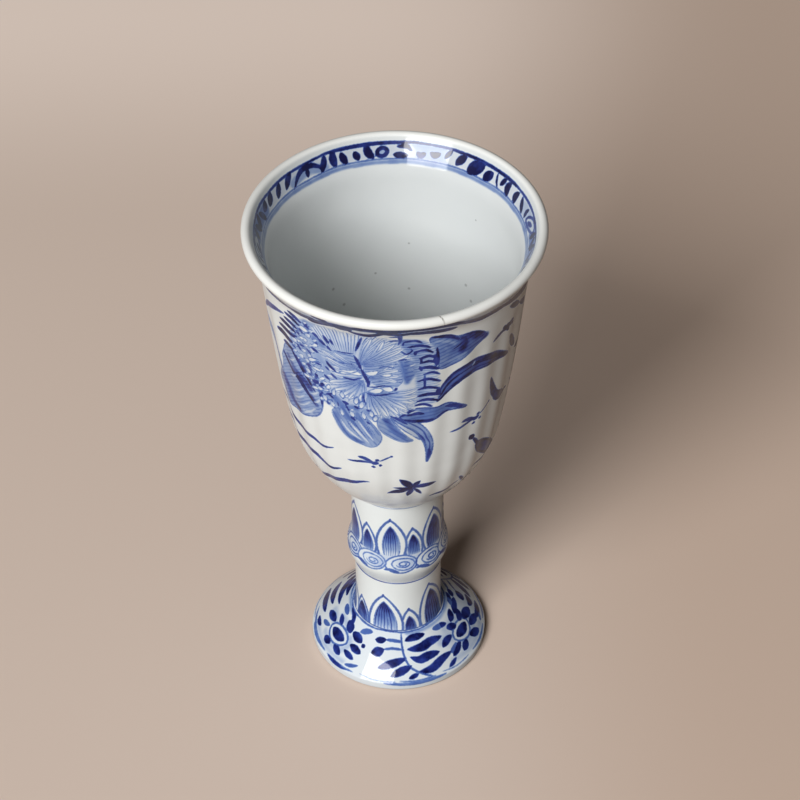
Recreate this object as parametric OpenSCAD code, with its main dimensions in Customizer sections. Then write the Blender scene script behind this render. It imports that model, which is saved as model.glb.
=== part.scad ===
// Porcelain stem cup: a ribbed, bell-shaped bowl on a hollow stem with a knop, on a domed foot.
// Four thrown and turned pieces are stacked, each with a tenon in the socket of the piece below,
// and each joint is filled with a thin layer of luting slip.
// Millimetres, +Z up, origin at the centre of the plane that the foot ring stands on.

/* [Bowl] */
// Height of the bowl from its seat on the stem to the top of the lip
bowl_height = 91.1; // [80:0.1:100]
// Outer radius of the flared lip
lip_radius = 40; // [38.5:0.5:43]
// Thickness of the rounded lip
lip_thickness = 2.7; // [2.2:0.1:3.4]
// Angle between the flare under the lip and the upright, in degrees
lip_flare = 30; // [24:1:38]
// Angle between the flare inside the lip and the upright, in degrees
inner_flare = 28; // [22:1:36]
// Depth of the neck below the top of the lip
neck_depth = 11; // [9:0.5:14]
// Outer radius at the neck, just under the lip
neck_radius = 35.7; // [34:0.1:37]
// Height of the belly above the seat, where the wall turns in
belly_height = 28.1; // [25:0.1:31]
// Outer radius at the belly
belly_radius = 29; // [27:0.5:31]
// Outward lean of the wall at the belly, as sideways travel for each millimetre of height
belly_lean = 0.18; // [0.1:0.01:0.24]
// Outward lean of the wall at the neck, as sideways travel for each millimetre of height
neck_lean = 0.12; // [0.06:0.01:0.16]
// Thickness of the bowl's wall
bowl_wall = 2.7; // [2.2:0.1:3.2]
// Thickness of the bowl's floor above the seat
bowl_floor = 5; // [4:0.5:7]
// Number of moulded ribs round the outside
rib_count = 26; // [20:1:32]
// Depth of the grooves between the ribs
rib_depth = 0.4; // [0.2:0.1:0.8]
// Angle of the first rib's crest from the +X axis, in degrees
rib_turn = -86.7; // [-180:0.1:180]

/* [Upper stem] */
// Length of the upper stem from its shoulder to its top face
upper_stem_length = 29.7; // [26:0.1:36]
// Outer radius at the top face, under the bowl
upper_stem_top_radius = 12.85; // [11.5:0.05:13.5]
// Outer radius of the collar above the knop
collar_radius = 12.95; // [12:0.05:13.6]
// Outer radius of the knop
knop_radius = 14.3; // [13.8:0.1:16]
// Height of the knop's widest line above the shoulder
knop_height = 6.2; // [5:0.1:8]
// Length of the knop's upper slope, up to the collar
knop_slope = 8; // [6:0.5:10]

/* [Lower stem] */
// Length of the lower stem from its shoulder to its top face
lower_stem_length = 18.4; // [14:0.1:24]
// Outer radius at the joint under the knop
waist_radius = 12.3; // [11.5:0.1:13]
// Outer radius where the lower stem is slimmest
slim_radius = 12.1; // [11.3:0.1:12.3]
// Outer radius at the shoulder that stands on the foot
lower_stem_base_radius = 12.7; // [12:0.1:13.5]

/* [Foot] */
// Height of the foot's top face above the ground
foot_height = 11.6; // [10:0.1:15]
// Outer radius of the foot's edge
foot_radius = 25; // [23:0.05:29]
// Outer radius of the foot's top face
foot_top_radius = 12.9; // [12.7:0.1:14]
// Height of the foot's edge, up to where the dome starts
foot_edge_height = 2.4; // [2:0.1:3.2]
// Width of the flat ring that the cup stands on
foot_ring_width = 3; // [2.4:0.1:4]
// Height of the foot ring's inner wall
foot_ring_depth = 0.9; // [0.5:0.1:1.5]
// Radius of the rounding on the foot's edge
foot_edge_round = 0.8; // [0.4:0.1:1]

/* [Luted joints] */
// Radius of the tenon under each upper piece
tenon_radius = 7.6; // [6.8:0.1:8.2]
// Length of each tenon below its shoulder
tenon_length = 3.4; // [2.6:0.1:4]
// Thickness of the slip that fills each joint
slip_thickness = 0.4; // [0.2:0.1:0.6]
// Radius of the hollow through the stem
stem_hollow_radius = 5.5; // [4:0.1:5.8]

/* [Hidden] */
$fn = 96;

// Places along the axis, stacked up from the ground
lower_stem_z = foot_height + slip_thickness;
stem_joint_z = lower_stem_z + lower_stem_length;
upper_stem_z = stem_joint_z + slip_thickness;
seat_joint_z = upper_stem_z + upper_stem_length;
seat_z = seat_joint_z + slip_thickness;
lip_z = seat_z + bowl_height;
neck_z = lip_z - neck_depth;
belly_z = seat_z + belly_height;

// A socket leaves room for the slip all round its tenon and under it
socket_radius = tenon_radius + slip_thickness;
socket_depth = tenon_length;

// Steps along each curve, and points across each rib
outside_steps = 6;
inside_steps = 4;
flare_steps = 4;
lip_round_steps = 4;
stem_steps = 6;
dome_steps = 10;
edge_steps = 6;
rib_points = 4;

// Reach of the curves' handles, as shares of the length that each curve spans
wall_foot_reach = 0.42;
wall_top_reach = 0.39;
outer_flare_reach = [0.4, 0.4];
inner_flare_reach = [0.23, 0.59];
underside_seat_reach = 0.24;
underside_belly_reach = 0.49;
floor_middle_reach = 0.5;
floor_belly_reach = 0.68;
swell_foot_reach = 0.3;
swell_top_reach = 0.35;
slope_foot_reach = 0.25;
slope_top_reach = 0.5;
collar_reach = 0.3;
slim_low_reach = 0.25;
slim_high_reach = 0.6;
dome_top_reach = [0.25, 0.15];
dome_edge_reach = [0.66, 0.56];

// Where the ribs start and are full, as shares of the belly's height, and how soon they fade under the neck
rib_start_share = 0.2;
rib_full_share = 0.7;
rib_fade_share = 1.2;

porcelain = [0.93, 0.94, 0.93];
slip_white = [0.88, 0.88, 0.85];

// Points on the cubic curve from a to d that leaves towards b and arrives from c
function curve(a, b, c, d, steps) = [
    for (i = [0:steps])
        let (t = i / steps)
        pow(1 - t, 3) * a + 3 * pow(1 - t, 2) * t * b + 3 * (1 - t) * t * t * c + pow(t, 3) * d
];

// A list without its first point, for joining curves that share an end
function tail(points) = [for (i = [1:len(points) - 1]) points[i]];

// A list from its last point to its first
function reversed(points) = [for (i = [len(points) - 1:-1:0]) points[i]];

// The wall's profile from the belly to the lip, moved in by the given depth: 0 is the outside
function bowl_side(depth, flare_angle, flare_reach, lip_end, steps) =
    let (
        belly = [belly_radius - depth, belly_z],
        neck = [neck_radius - depth, neck_z],
        rise = neck_z - belly_z,
        leave_belly = belly + [belly_lean, 1] * rise * wall_foot_reach,
        reach_neck = neck - [neck_lean, 1] * rise * wall_top_reach,
        flare = [sin(flare_angle), cos(flare_angle)],
        leave_neck = neck + [neck_lean, 1] * neck_depth * flare_reach[0],
        reach_lip = lip_end - flare * neck_depth * flare_reach[1]
    )
    concat(
        curve(belly, leave_belly, reach_neck, neck, steps),
        tail(curve(neck, leave_neck, reach_lip, lip_end, flare_steps))
    );

// Centre and radius of the lip's rounding, and the arc that joins outside to inside
lip_round = lip_thickness / 2;
lip_centre = [lip_radius - lip_round, lip_z - lip_round];
function lip_point(angle) = lip_centre + lip_round * [cos(angle), sin(angle)];
lip_sweep = 180 - inner_flare + lip_flare;
lip_arc = [for (i = [0:lip_round_steps]) lip_point(-lip_flare + lip_sweep * i / lip_round_steps)];

// The rounded underside of the bowl, from the seat's edge out to the belly
seat_edge = [upper_stem_top_radius, seat_z];
outer_belly = [belly_radius, belly_z];
underside = curve(
    seat_edge,
    seat_edge + [1, 1] * belly_height * underside_seat_reach,
    outer_belly - [belly_lean, 1] * belly_height * underside_belly_reach,
    outer_belly,
    outside_steps
);

// The bowl's inner floor, from the axis out to the belly
inner_belly = [belly_radius - bowl_wall, belly_z];
inner_rise = belly_height - bowl_floor;
floor_z = seat_z + bowl_floor;
inner_floor = curve(
    [0, floor_z],
    [inner_belly.x * floor_middle_reach, floor_z],
    inner_belly - [belly_lean, 1] * inner_rise * floor_belly_reach,
    inner_belly,
    outside_steps
);

// Rings of the bowl in order: tenon, seat, underside, wall, lip, then down the inside to the floor
outside_profile = concat(
    [[tenon_radius, seat_z - tenon_length], [tenon_radius, seat_z]],
    underside,
    tail(bowl_side(0, lip_flare, outer_flare_reach, lip_point(-lip_flare), outside_steps))
);
inside_wall = bowl_side(bowl_wall, inner_flare, inner_flare_reach, lip_point(180 - inner_flare), inside_steps);
bowl_profile = concat(
    outside_profile,
    tail(lip_arc),
    tail(reversed(inside_wall)),
    tail(reversed(tail(inner_floor)))
);

// Share of the rib depth at a ring: full on the wall, none at the seat, the neck or the inside
rib_start_z = seat_z + belly_height * rib_start_share;
rib_full_z = seat_z + belly_height * rib_full_share;
rib_fade = neck_depth * rib_fade_share;
function ramp(x) = let (t = max(0, min(1, x))) t * t * (3 - 2 * t);
function rib_share(i) =
    let (z = bowl_profile[i].y)
    i >= len(outside_profile) ? 0
        : ramp((z - rib_start_z) / (rib_full_z - rib_start_z)) * ramp((neck_z - z) / rib_fade);

// Depth below the crest at an angle: broad round ribs with narrow grooves between them
function groove(angle) = 1 - abs(cos((angle - rib_turn) * rib_count / 2));

module bowl() {
    sides = rib_count * rib_points;
    rings = len(bowl_profile);
    ring_points = [
        for (i = [0:rings - 1])
            for (j = [0:sides - 1])
                let (
                    angle = rib_turn + j * 360 / sides,
                    radius = bowl_profile[i].x - rib_depth * rib_share(i) * groove(angle)
                )
                [radius * cos(angle), radius * sin(angle), bowl_profile[i].y]
    ];
    under_pole = len(ring_points);
    floor_pole = under_pole + 1;
    poles = [[0, 0, seat_z - tenon_length], [0, 0, floor_z]];
    side_faces = [
        for (i = [0:rings - 2])
            for (j = [0:sides - 1])
                let (
                    k = (j + 1) % sides,
                    a = i * sides + j,
                    b = i * sides + k,
                    c = (i + 1) * sides + k,
                    d = (i + 1) * sides + j
                )
                each [[a, c, b], [a, d, c]]
    ];
    last = (rings - 1) * sides;
    end_faces = [
        for (j = [0:sides - 1])
            let (k = (j + 1) % sides)
            each [[under_pole, j, k], [floor_pole, last + k, last + j]]
    ];
    color(porcelain)
        polyhedron(points = concat(ring_points, poles), faces = concat(side_faces, end_faces), convexity = 6);
}

// One layer of slip: a flat ring between two faces, and the sleeve round the tenon
module luting(face_z, face_radius) {
    color(slip_white)
        rotate_extrude()
            polygon([
                [tenon_radius, face_z + slip_thickness],
                [tenon_radius, face_z + slip_thickness - tenon_length],
                [socket_radius, face_z + slip_thickness - tenon_length],
                [socket_radius, face_z],
                [face_radius, face_z],
                [face_radius, face_z + slip_thickness]
            ]);
}

// A hollow stem piece: the outline of its side, with a tenon below and a socket above
module stem_piece(shoulder_z, side) {
    top = side[len(side) - 1];
    color(porcelain)
        rotate_extrude()
            polygon(concat(
                [
                    [stem_hollow_radius, shoulder_z - tenon_length],
                    [tenon_radius, shoulder_z - tenon_length],
                    [tenon_radius, shoulder_z]
                ],
                side,
                [
                    [socket_radius, top.y],
                    [socket_radius, top.y - socket_depth],
                    [stem_hollow_radius, top.y - socket_depth]
                ]
            ));
}

module bowl_luting() {
    luting(seat_joint_z, upper_stem_top_radius);
}

// Upper stem: the knop swells just above the shoulder and runs up into a slightly tapered collar
module upper_stem() {
    knop = [knop_radius, upper_stem_z + knop_height];
    collar = [collar_radius, knop.y + knop_slope];
    top = [upper_stem_top_radius, seat_joint_z];
    shoulder = [waist_radius, upper_stem_z];
    swell = curve(
        shoulder,
        shoulder + (knop - shoulder) * swell_foot_reach,
        knop - [0, knop_height * swell_top_reach],
        knop,
        stem_steps
    );
    slope = curve(
        knop,
        knop + [0, knop_slope * slope_foot_reach],
        collar - [0, knop_slope * slope_top_reach],
        collar,
        stem_steps
    );
    neck = curve(collar, collar + [0, (top.y - collar.y) * collar_reach], (collar + top) / 2, top, stem_steps);
    stem_piece(upper_stem_z, concat(swell, tail(slope), tail(neck)));
}

module stem_luting() {
    luting(stem_joint_z, waist_radius);
}

// Lower stem: nearly straight, spreading a little towards the foot
module lower_stem() {
    base = [lower_stem_base_radius, lower_stem_z];
    top = [waist_radius, stem_joint_z];
    slim_low = [slim_radius, lower_stem_z + lower_stem_length * slim_low_reach];
    slim_high = [slim_radius, lower_stem_z + lower_stem_length * slim_high_reach];
    stem_piece(lower_stem_z, curve(base, slim_low, slim_high, top, stem_steps));
}

module foot_luting() {
    luting(foot_height, lower_stem_base_radius);
}

// Foot: a domed disc, open in the middle for the tenon and hollowed underneath
module foot() {
    dome_start = [foot_top_radius, foot_height];
    dome_end = [foot_radius, foot_edge_height];
    dome_run = dome_end - dome_start;
    dome = curve(
        dome_start,
        dome_start + [dome_run.x * dome_top_reach.x, dome_run.y * dome_top_reach.y],
        dome_start + [dome_run.x * dome_edge_reach.x, dome_run.y * dome_edge_reach.y],
        dome_end,
        dome_steps
    );
    ring_outer = foot_radius - foot_edge_round;
    ring_inner = ring_outer - foot_ring_width;
    edge = [
        for (i = [0:edge_steps])
            let (angle = -90 * i / edge_steps)
            [ring_outer + foot_edge_round * cos(angle), foot_edge_round * (1 + sin(angle))]
    ];
    color(porcelain)
        rotate_extrude()
            polygon(concat(
                dome,
                edge,
                [
                    [ring_inner, 0],
                    [ring_inner, foot_ring_depth],
                    [socket_radius, foot_height + slip_thickness - tenon_length],
                    [socket_radius, foot_height]
                ]
            ));
}

bowl();
bowl_luting();
upper_stem();
stem_luting();
lower_stem();
foot_luting();
foot();
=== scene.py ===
import bpy
import numpy as np
from mathutils import Matrix, Vector


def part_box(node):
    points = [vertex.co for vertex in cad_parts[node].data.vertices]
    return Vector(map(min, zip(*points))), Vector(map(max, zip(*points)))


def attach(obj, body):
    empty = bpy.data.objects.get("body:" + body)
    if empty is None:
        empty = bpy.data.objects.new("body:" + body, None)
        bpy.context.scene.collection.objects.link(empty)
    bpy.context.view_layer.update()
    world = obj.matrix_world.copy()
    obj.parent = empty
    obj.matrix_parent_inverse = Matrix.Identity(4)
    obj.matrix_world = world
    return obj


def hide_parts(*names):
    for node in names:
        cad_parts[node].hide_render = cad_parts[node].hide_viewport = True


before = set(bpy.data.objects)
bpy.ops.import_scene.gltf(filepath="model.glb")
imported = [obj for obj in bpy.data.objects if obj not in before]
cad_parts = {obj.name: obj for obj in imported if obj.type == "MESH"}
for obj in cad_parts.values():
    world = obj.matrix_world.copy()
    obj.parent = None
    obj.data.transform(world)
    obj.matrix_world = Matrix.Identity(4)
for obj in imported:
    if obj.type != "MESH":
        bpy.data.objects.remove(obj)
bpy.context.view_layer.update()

# Foot
# A thrown porcelain disc, turned to a low dome and hollowed underneath, with a socket for the stem.
# Cobalt flowers and leaf sprays are brushed on the raw clay and lie under the clear glaze.
# The flat ring that it stands on is wiped bare before firing.
millimetre = 0.001
hidden_map_share = 0.15


def span(node):
    """Lowest and highest corner of a CAD node, in millimetres."""
    low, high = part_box(node)
    return np.array(low) / millimetre, np.array(high) / millimetre


def curve(start, leave, arrive, end, steps=40):
    """Cubic curve: the four points weighted by (1-t)^3, 3(1-t)^2 t, 3(1-t) t^2 and t^3."""
    t = np.linspace(0, 1, steps + 1)[:, None]
    points = np.array([start, leave, arrive, end], float)
    weights = np.hstack([(1 - t) ** 3, 3 * (1 - t) ** 2 * t, 3 * (1 - t) * t ** 2, t ** 3])
    return weights @ points


def arc(centre, radius, first, last, steps=6):
    """Part of a circle, from the first to the last angle in degrees."""
    turn = np.radians(np.linspace(first, last, steps + 1))
    return np.array(centre) + radius * np.column_stack([np.cos(turn), np.sin(turn)])


def walked(points):
    """Distance along a line of points, from its first point to each of them."""
    return np.concatenate([[0.0], np.cumsum(np.hypot(*np.diff(points, axis=0).T))])


def chain(*runs):
    """Runs of points end to end, where each run starts at the point that the one before ends at."""
    return np.vstack([runs[0]] + [run[1:] for run in runs[1:]])


def along(points, places):
    """The points at given distances along a line of points."""
    way = walked(points)
    return np.column_stack([np.interp(places, way, points[:, 0]), np.interp(places, way, points[:, 1])])


def even(points, step):
    """The same line of points, walked in equal steps of about the given length."""
    length = walked(points)[-1]
    return along(points, np.linspace(0, length, int(round(length / step)) + 1))


def turned(name, painted, hidden, angles, creases=(), relief=0.0):
    """A turned piece: a closed profile carried round the axis, so that the point (r, z) becomes
    (r cos a, r sin a, z) at each angle a. The profile is the painted side, then the hidden rest, and a
    point of it on the axis becomes one pole. Relief is taken off the radius of the painted side. Creases
    are profile rows left sharp. The unrolled piece is kept as the OFBake map, with most of its height for
    the painted side."""
    profile = np.vstack([painted, hidden])
    columns = len(angles)
    on_axis = profile[:, 0] == 0
    radii = profile[:, :1] + 0 * angles
    radii[:len(painted)] -= relief
    rounds = np.stack([radii * np.cos(angles), radii * np.sin(angles), profile[:, 1:] + 0 * angles], -1)
    kept = ~on_axis[:, None] | (np.arange(columns) == 0)
    counts = kept.sum(1)
    first = np.cumsum(counts) - counts
    numbers = first[:, None] + np.where(on_axis[:, None], 0, np.arange(columns))
    onward = np.roll(numbers, -1, 1)
    bands = np.stack([numbers, onward, np.roll(onward, -1, 0), np.roll(numbers, -1, 0)], -1)
    steps = np.hypot(*np.diff(np.vstack([profile, profile[:1]]), axis=0).T)
    steps[len(painted) - 1:] *= hidden_map_share
    heights = np.concatenate([[0.0], np.cumsum(steps)]) / steps.sum()
    across = (np.arange(columns)[:, None] + [0, 1, 1, 0]) / columns
    upwards = np.column_stack([heights[:-1], heights[:-1], heights[1:], heights[1:]])
    unrolled = np.stack(np.broadcast_arrays(across[None], upwards[:, None]), -1)
    next_on_axis = np.roll(on_axis, -1)
    walls = ~on_axis & ~next_on_axis
    closing = ~on_axis & next_on_axis
    opening = on_axis & ~next_on_axis
    corners = [(walls, [0, 1, 2, 3]), (closing, [0, 1, 2]), (opening, [0, 2, 3])]
    faces = [face for rows, used in corners
             for face in bands[rows][..., used].reshape(-1, len(used)).tolist()]
    places = np.vstack([unrolled[rows][..., used, :].reshape(-1, 2) for rows, used in corners])
    mesh = bpy.data.meshes.new(name)
    mesh.from_pydata((rounds[kept] * millimetre).tolist(), [], faces)
    mesh.uv_layers.new(name="OFBake").uv.foreach_set("vector", places.ravel().astype(np.float32))
    mesh.shade_smooth()
    ends = np.empty(len(mesh.edges) * 2, np.int32)
    mesh.edges.foreach_get("vertices", ends)
    edge_rows = np.searchsorted(first, ends.reshape(-1, 2), side="right") - 1
    sharp = (edge_rows[:, 0] == edge_rows[:, 1]) & np.isin(edge_rows[:, 0], list(creases))
    mesh.attributes.new("sharp_edge", "BOOLEAN", "EDGE").data.foreach_set("value", sharp)
    piece = bpy.data.objects.new(name, mesh)
    bpy.context.scene.collection.objects.link(piece)
    return piece


def through(points, steps=8):
    """Smooth line through given points: between two of them, the cubic whose slope at each is half
    the way from the point before it to the point after it."""
    placed = np.array(points, float)
    placed = np.vstack([2 * placed[0] - placed[1], placed, 2 * placed[-1] - placed[-2]])
    a, b, c, d = placed[:-3], placed[1:-2], placed[2:-1], placed[3:]
    t = np.linspace(0, 1, steps, endpoint=False)[:, None, None]
    line = b + 0.5 * ((c - a) * t + (2 * a - 5 * b + 4 * c - d) * t ** 2 + (3 * b - a - 3 * c + d) * t ** 3)
    return np.vstack([line.swapaxes(0, 1).reshape(-1, 2), placed[-2:-1]])


def closed(points, steps=8):
    """Smooth closed line through given points."""
    line = through([points[-1], *points, points[0], points[1]], steps)
    return line[steps:steps * (len(points) + 1)]


def beside_spine(spine, x, y):
    """For each place: its distance from the nearest point on a spine, how far along the spine that point
    is as a share of its length, and the side it lies on, +1 for left and -1 for right."""
    start, step = spine[:-1], np.diff(spine, axis=0)
    length = np.hypot(step[:, 0], step[:, 1]) + 1e-9
    ahead, over = x[..., None] - start[:, 0], y[..., None] - start[:, 1]
    share = np.clip((ahead * step[:, 0] + over * step[:, 1]) / length ** 2, 0, 1)
    off = np.hypot(ahead - share * step[:, 0], over - share * step[:, 1])
    nearest = off.argmin(-1)[..., None]
    side = np.take_along_axis(step[:, 0] * over - step[:, 1] * ahead, nearest, -1)[..., 0]
    passed = np.cumsum(length) - length
    travelled = (passed + share * length) / length.sum()
    distance = np.take_along_axis(off, nearest, -1)[..., 0]
    return distance, np.take_along_axis(travelled, nearest, -1)[..., 0], np.where(side >= 0, 1.0, -1.0)


def inside_outline(outline, x, y):
    """Distance from each place to a closed outline, negative inside it: the nearest point on any edge,
    with the side found by counting the edges crossed on the way out along +x."""
    start, step = outline, np.roll(outline, -1, 0) - outline
    end_y = start[:, 1] + step[:, 1]
    ahead, over = x[..., None] - start[:, 0], y[..., None] - start[:, 1]
    share = np.clip((ahead * step[:, 0] + over * step[:, 1]) / (step ** 2).sum(1).clip(1e-12), 0, 1)
    distance = np.hypot(ahead - share * step[:, 0], over - share * step[:, 1]).min(-1)
    level = np.where(np.abs(step[:, 1]) < 1e-9, 1e-9, step[:, 1])
    spans = (start[:, 1] > y[..., None]) != (end_y > y[..., None])
    crossed = spans & (ahead < over * step[:, 0] / level)
    return np.where(crossed.sum(-1) % 2 == 1, -distance, distance)


def ease(value, low, high):
    """0 below low, 1 above high, and 3t^2 - 2t^3 between them."""
    t = np.clip((value - low) / (high - low), 0, 1)
    return t * t * (3 - 2 * t)


def mark(piece, name, layer, plain=0.0):
    """Keeps a number at each vertex of a piece as an attribute. The layer covers the piece's first rows, and
    the vertices after them get the plain number."""
    values = np.full(len(piece.data.vertices), plain, np.float32)
    values[:layer.size] = layer.ravel()
    piece.data.attributes.new(name, "FLOAT", "POINT").data.foreach_set("value", values)


class Painting:
    """Cobalt painting on the side of a turned piece. x is the way round in millimetres at a reference
    radius, from the front towards +X, and y is the way along the profile. Each vertex keeps the depth of
    the soft wash, the distance to the edge of the nearest ink stroke, negative inside it, that ink's
    tone, the phase of the fine hatching, which stays above zero, and how strongly the hatching shows. A
    motif comes back each time that x has gone on by the whole way round divided by repeats."""

    reach = 1.0
    first_phase = 40.0

    def __init__(self, angles, radii, y, reference, repeats=1):
        self.x = (angles + np.pi / 2) * reference
        self.y = y
        self.radii = radii / reference
        self.period = 2 * np.pi * reference / repeats
        shape = (len(y), len(angles))
        self.wash = np.zeros(shape)
        self.ink = np.full(shape, self.reach)
        self.tone = np.zeros(shape)
        self.hatch = np.zeros(shape)
        self.hatching = np.zeros(shape)

    def near(self, points, margin):
        """The vertices within a margin of some chart points, where they lie on a flat sheet that is true
        to size at each height, and where the points lie on that sheet."""
        middle = (points[:, 0].min() + points[:, 0].max()) / 2
        half = (points[:, 0].max() - points[:, 0].min()) / 2 + margin / self.radii.min()
        rows = np.nonzero((self.y > points[:, 1].min() - margin) & (self.y < points[:, 1].max() + margin))[0]
        offset = (self.x - middle + self.period / 2) % self.period - self.period / 2
        columns = np.nonzero(np.abs(offset) < half)[0]
        x = offset[columns][None, :] * self.radii[rows][:, None]
        y = np.repeat(self.y[rows][:, None], len(columns), 1)
        order = np.argsort(self.y)
        stretch = np.interp(points[:, 1], self.y[order], self.radii[order])
        flat = np.column_stack([(points[:, 0] - middle) * stretch, points[:, 1]])
        return np.ix_(rows, columns), x, y, flat

    def lay_ink(self, spot, edge, tone):
        """Puts an ink mark down wherever its edge is nearer than that of the ink already there."""
        closer = edge < self.ink[spot]
        self.ink[spot] = np.where(closer, edge, self.ink[spot])
        self.tone[spot] = np.where(closer, tone, self.tone[spot])

    def lay_wash(self, spot, cover, wash, lines_share=0.0, phase=None):
        """Puts a wash down over what is there, by the share that it covers, with its own hatching."""
        self.wash[spot] += cover * (np.maximum(wash, 0) - self.wash[spot])
        self.hatching[spot] += cover * (lines_share - self.hatching[spot])
        if phase is not None:
            self.hatch[spot] = np.where(cover > 0.25, phase, self.hatch[spot])

    def brush(self, points, width, tone=0.95, bias=1.0, blunt=0.5):
        """An ink stroke along a smooth line. Its half width at the share t of its length is
        half of width times sin(pi t^bias)^blunt."""
        spot, x, y, spine = self.near(through(points), width / 2 + self.reach)
        distance, t, _ = beside_spine(spine, x, y)
        half = width / 2 * np.sin(np.pi * np.clip(t, 0.001, 0.999) ** bias) ** blunt
        self.lay_ink(spot, distance - half, tone)

    def strokes(self, marks, tone=0.95, bias=1.0, blunt=0.5, at=(0, 0), brush=1.0):
        """A list of ink strokes, each with its points and its width. The points are moved to a place, and
        the widths are multiplied by the size of the brush."""
        for points, width in marks:
            self.brush(np.array(points) + at, brush * width, tone, bias, blunt)

    def dab(self, x, y, length, width, angle=0.0, tone=0.95, bias=1.0, blunt=0.6):
        """A leaf-shaped touch of the brush: a short stroke about a middle, turned by an angle in degrees."""
        turn = np.radians(angle)
        ahead = np.array([np.cos(turn), np.sin(turn)]) * length / 2
        middle = np.array([x, y])
        self.brush([middle - ahead, middle, middle + ahead], width, tone, bias, blunt)

    def tint(self, points, width, depth, soft=0.8):
        """A soft-edged stroke of thin cobalt along a smooth line."""
        spot, x, y, spine = self.near(through(points), width / 2 + soft)
        distance, _, _ = beside_spine(spine, x, y)
        cover = ease(width / 2 - distance, -soft, soft)
        self.wash[spot] += cover * (depth - self.wash[spot])

    def tints(self, marks, soft=0.8):
        """A list of tints, each with its points, its width and its depth."""
        for points, width, depth in marks:
            self.tint(points, width, depth, soft)

    def petal(self, points, width, wash=(0.2, 0.2), lines=0, lines_share=0.35, outline=0.5, tone=0.7,
              bias=1.0, blunt=0.7, clear=True):
        """A petal about a smooth spine, with the same half width rule as a stroke. It covers what was
        painted before, unless clear is off, and has a wash from its root to its tip, a number of hatched
        lines along it, and an outline in ink."""
        spot, x, y, spine = self.near(through(points), width / 2 + self.reach)
        way = walked(spine) / walked(spine)[-1]
        half = width / 2 * np.sin(np.pi * np.clip(way, 0.001, 0.999) ** bias) ** blunt
        ahead = np.gradient(spine, axis=0)
        left = np.column_stack([-ahead[:, 1], ahead[:, 0]]) / np.hypot(ahead[:, 0], ahead[:, 1])[:, None]
        sides = np.vstack([spine + left * half[:, None], (spine - left * half[:, None])[::-1]])
        edge = inside_outline(sides, x, y)
        distance, t, side = beside_spine(spine, x, y)
        across = side * distance / np.maximum(np.interp(t, way, half), 0.15)
        phase = self.first_phase + across * lines / 2
        if clear:
            self.ink[spot] = np.maximum(self.ink[spot], -edge)
        share = lines_share if lines else 0.0
        self.lay_wash(spot, ease(-edge, -0.2, 0.2), wash[0] + (wash[1] - wash[0]) * t, share, phase)
        if outline:
            self.lay_ink(spot, np.abs(edge) - outline / 2, tone)

    def patch(self, outline, wash=(0.2, 0.2), way=0.0, pitch=0.8, lines_share=0.3, rim=0.5, tone=0.7,
              soft=0.2):
        """A shape inside a smooth closed outline, which covers what was painted before. Its wash goes from
        the first depth to the second along a way, an angle in degrees. Its hatching runs the same way, at
        the given pitch, and its rim is inked."""
        spot, x, y, ring = self.near(closed(outline), self.reach)
        edge = inside_outline(ring, x, y)
        turn = np.radians(way)
        ahead = ring @ [np.cos(turn), np.sin(turn)]
        t = np.clip((x * np.cos(turn) + y * np.sin(turn) - ahead.min()) / np.ptp(ahead), 0, 1)
        phase = self.first_phase + (y * np.cos(turn) - x * np.sin(turn)) / pitch
        self.ink[spot] = np.maximum(self.ink[spot], -edge)
        self.lay_wash(spot, ease(-edge, -soft, soft), wash[0] + (wash[1] - wash[0]) * t, lines_share, phase)
        if rim:
            self.lay_ink(spot, np.abs(edge) - rim / 2, tone)

    def fan(self, root, tips, lines, wash=(0.3, 0.15), lines_share=0.35, start=0.1, bend=0.0):
        """Fine lines that spread from a root to a smooth line of tips. For a place, u is the share of the
        angle from the first tip to the last, and v the share of the way from the root to the tips, which
        reach in and out by turns. Lines lie at even steps of u, bent by v, and show from the share start."""
        spot, x, y, marks = self.near(np.vstack([[root], through(tips)]), self.reach)
        tip_x, tip_y = (marks[1:] - marks[0]).T
        middle = np.arctan2(tip_y.mean(), tip_x.mean())
        tip_turn = (np.arctan2(tip_y, tip_x) - middle + np.pi) % (2 * np.pi) - np.pi
        order = np.argsort(tip_turn)
        across, up = x - marks[0, 0], y - marks[0, 1]
        turn = (np.arctan2(up, across) - middle + np.pi) % (2 * np.pi) - np.pi
        spread = np.ptp(tip_turn)
        u = (turn - tip_turn.min()) / spread
        full = np.interp(turn, tip_turn[order], np.hypot(tip_x, tip_y)[order])
        full = full + 0.5 * np.sin(2.3 * lines * u) + 0.3 * np.sin(5.1 * lines * u)
        distance = np.hypot(across, up)
        v = distance / full
        beside = np.maximum(-u, u - 1) * spread * distance
        edge = np.maximum(np.maximum(distance - full, start * full - distance), beside)
        cover = ease(-edge, -0.35, 0.35)
        self.ink[spot] = np.maximum(self.ink[spot], np.minimum(-edge, self.reach))
        shown = lines_share * ease(v, start, start + 0.3)
        phase = self.first_phase + lines * (u + bend * v)
        self.lay_wash(spot, cover, wash[0] + (wash[1] - wash[0]) * v, shown, phase)

    def white(self, x, y, length, width, angle=0.0, outline=0.35, tone=0.55):
        """A small reserve of bare white, such as a stamen, with a thin outline. How far it bends and which
        end is fuller go by its place."""
        turn = np.radians(angle)
        ahead = np.array([np.cos(turn), np.sin(turn)]) * length / 2
        beside = 0.3 * np.sin(5 * x + 3 * y) * np.array([-ahead[1], ahead[0]])
        middle = np.array([x, y])
        fuller_end = 1.0 + 0.4 * np.sin(3 * x + 7 * y)
        self.petal([middle - ahead, middle + beside, middle + ahead], width, (0.14, 0.0), outline=outline,
                   tone=tone, bias=fuller_end, blunt=0.6)

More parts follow.
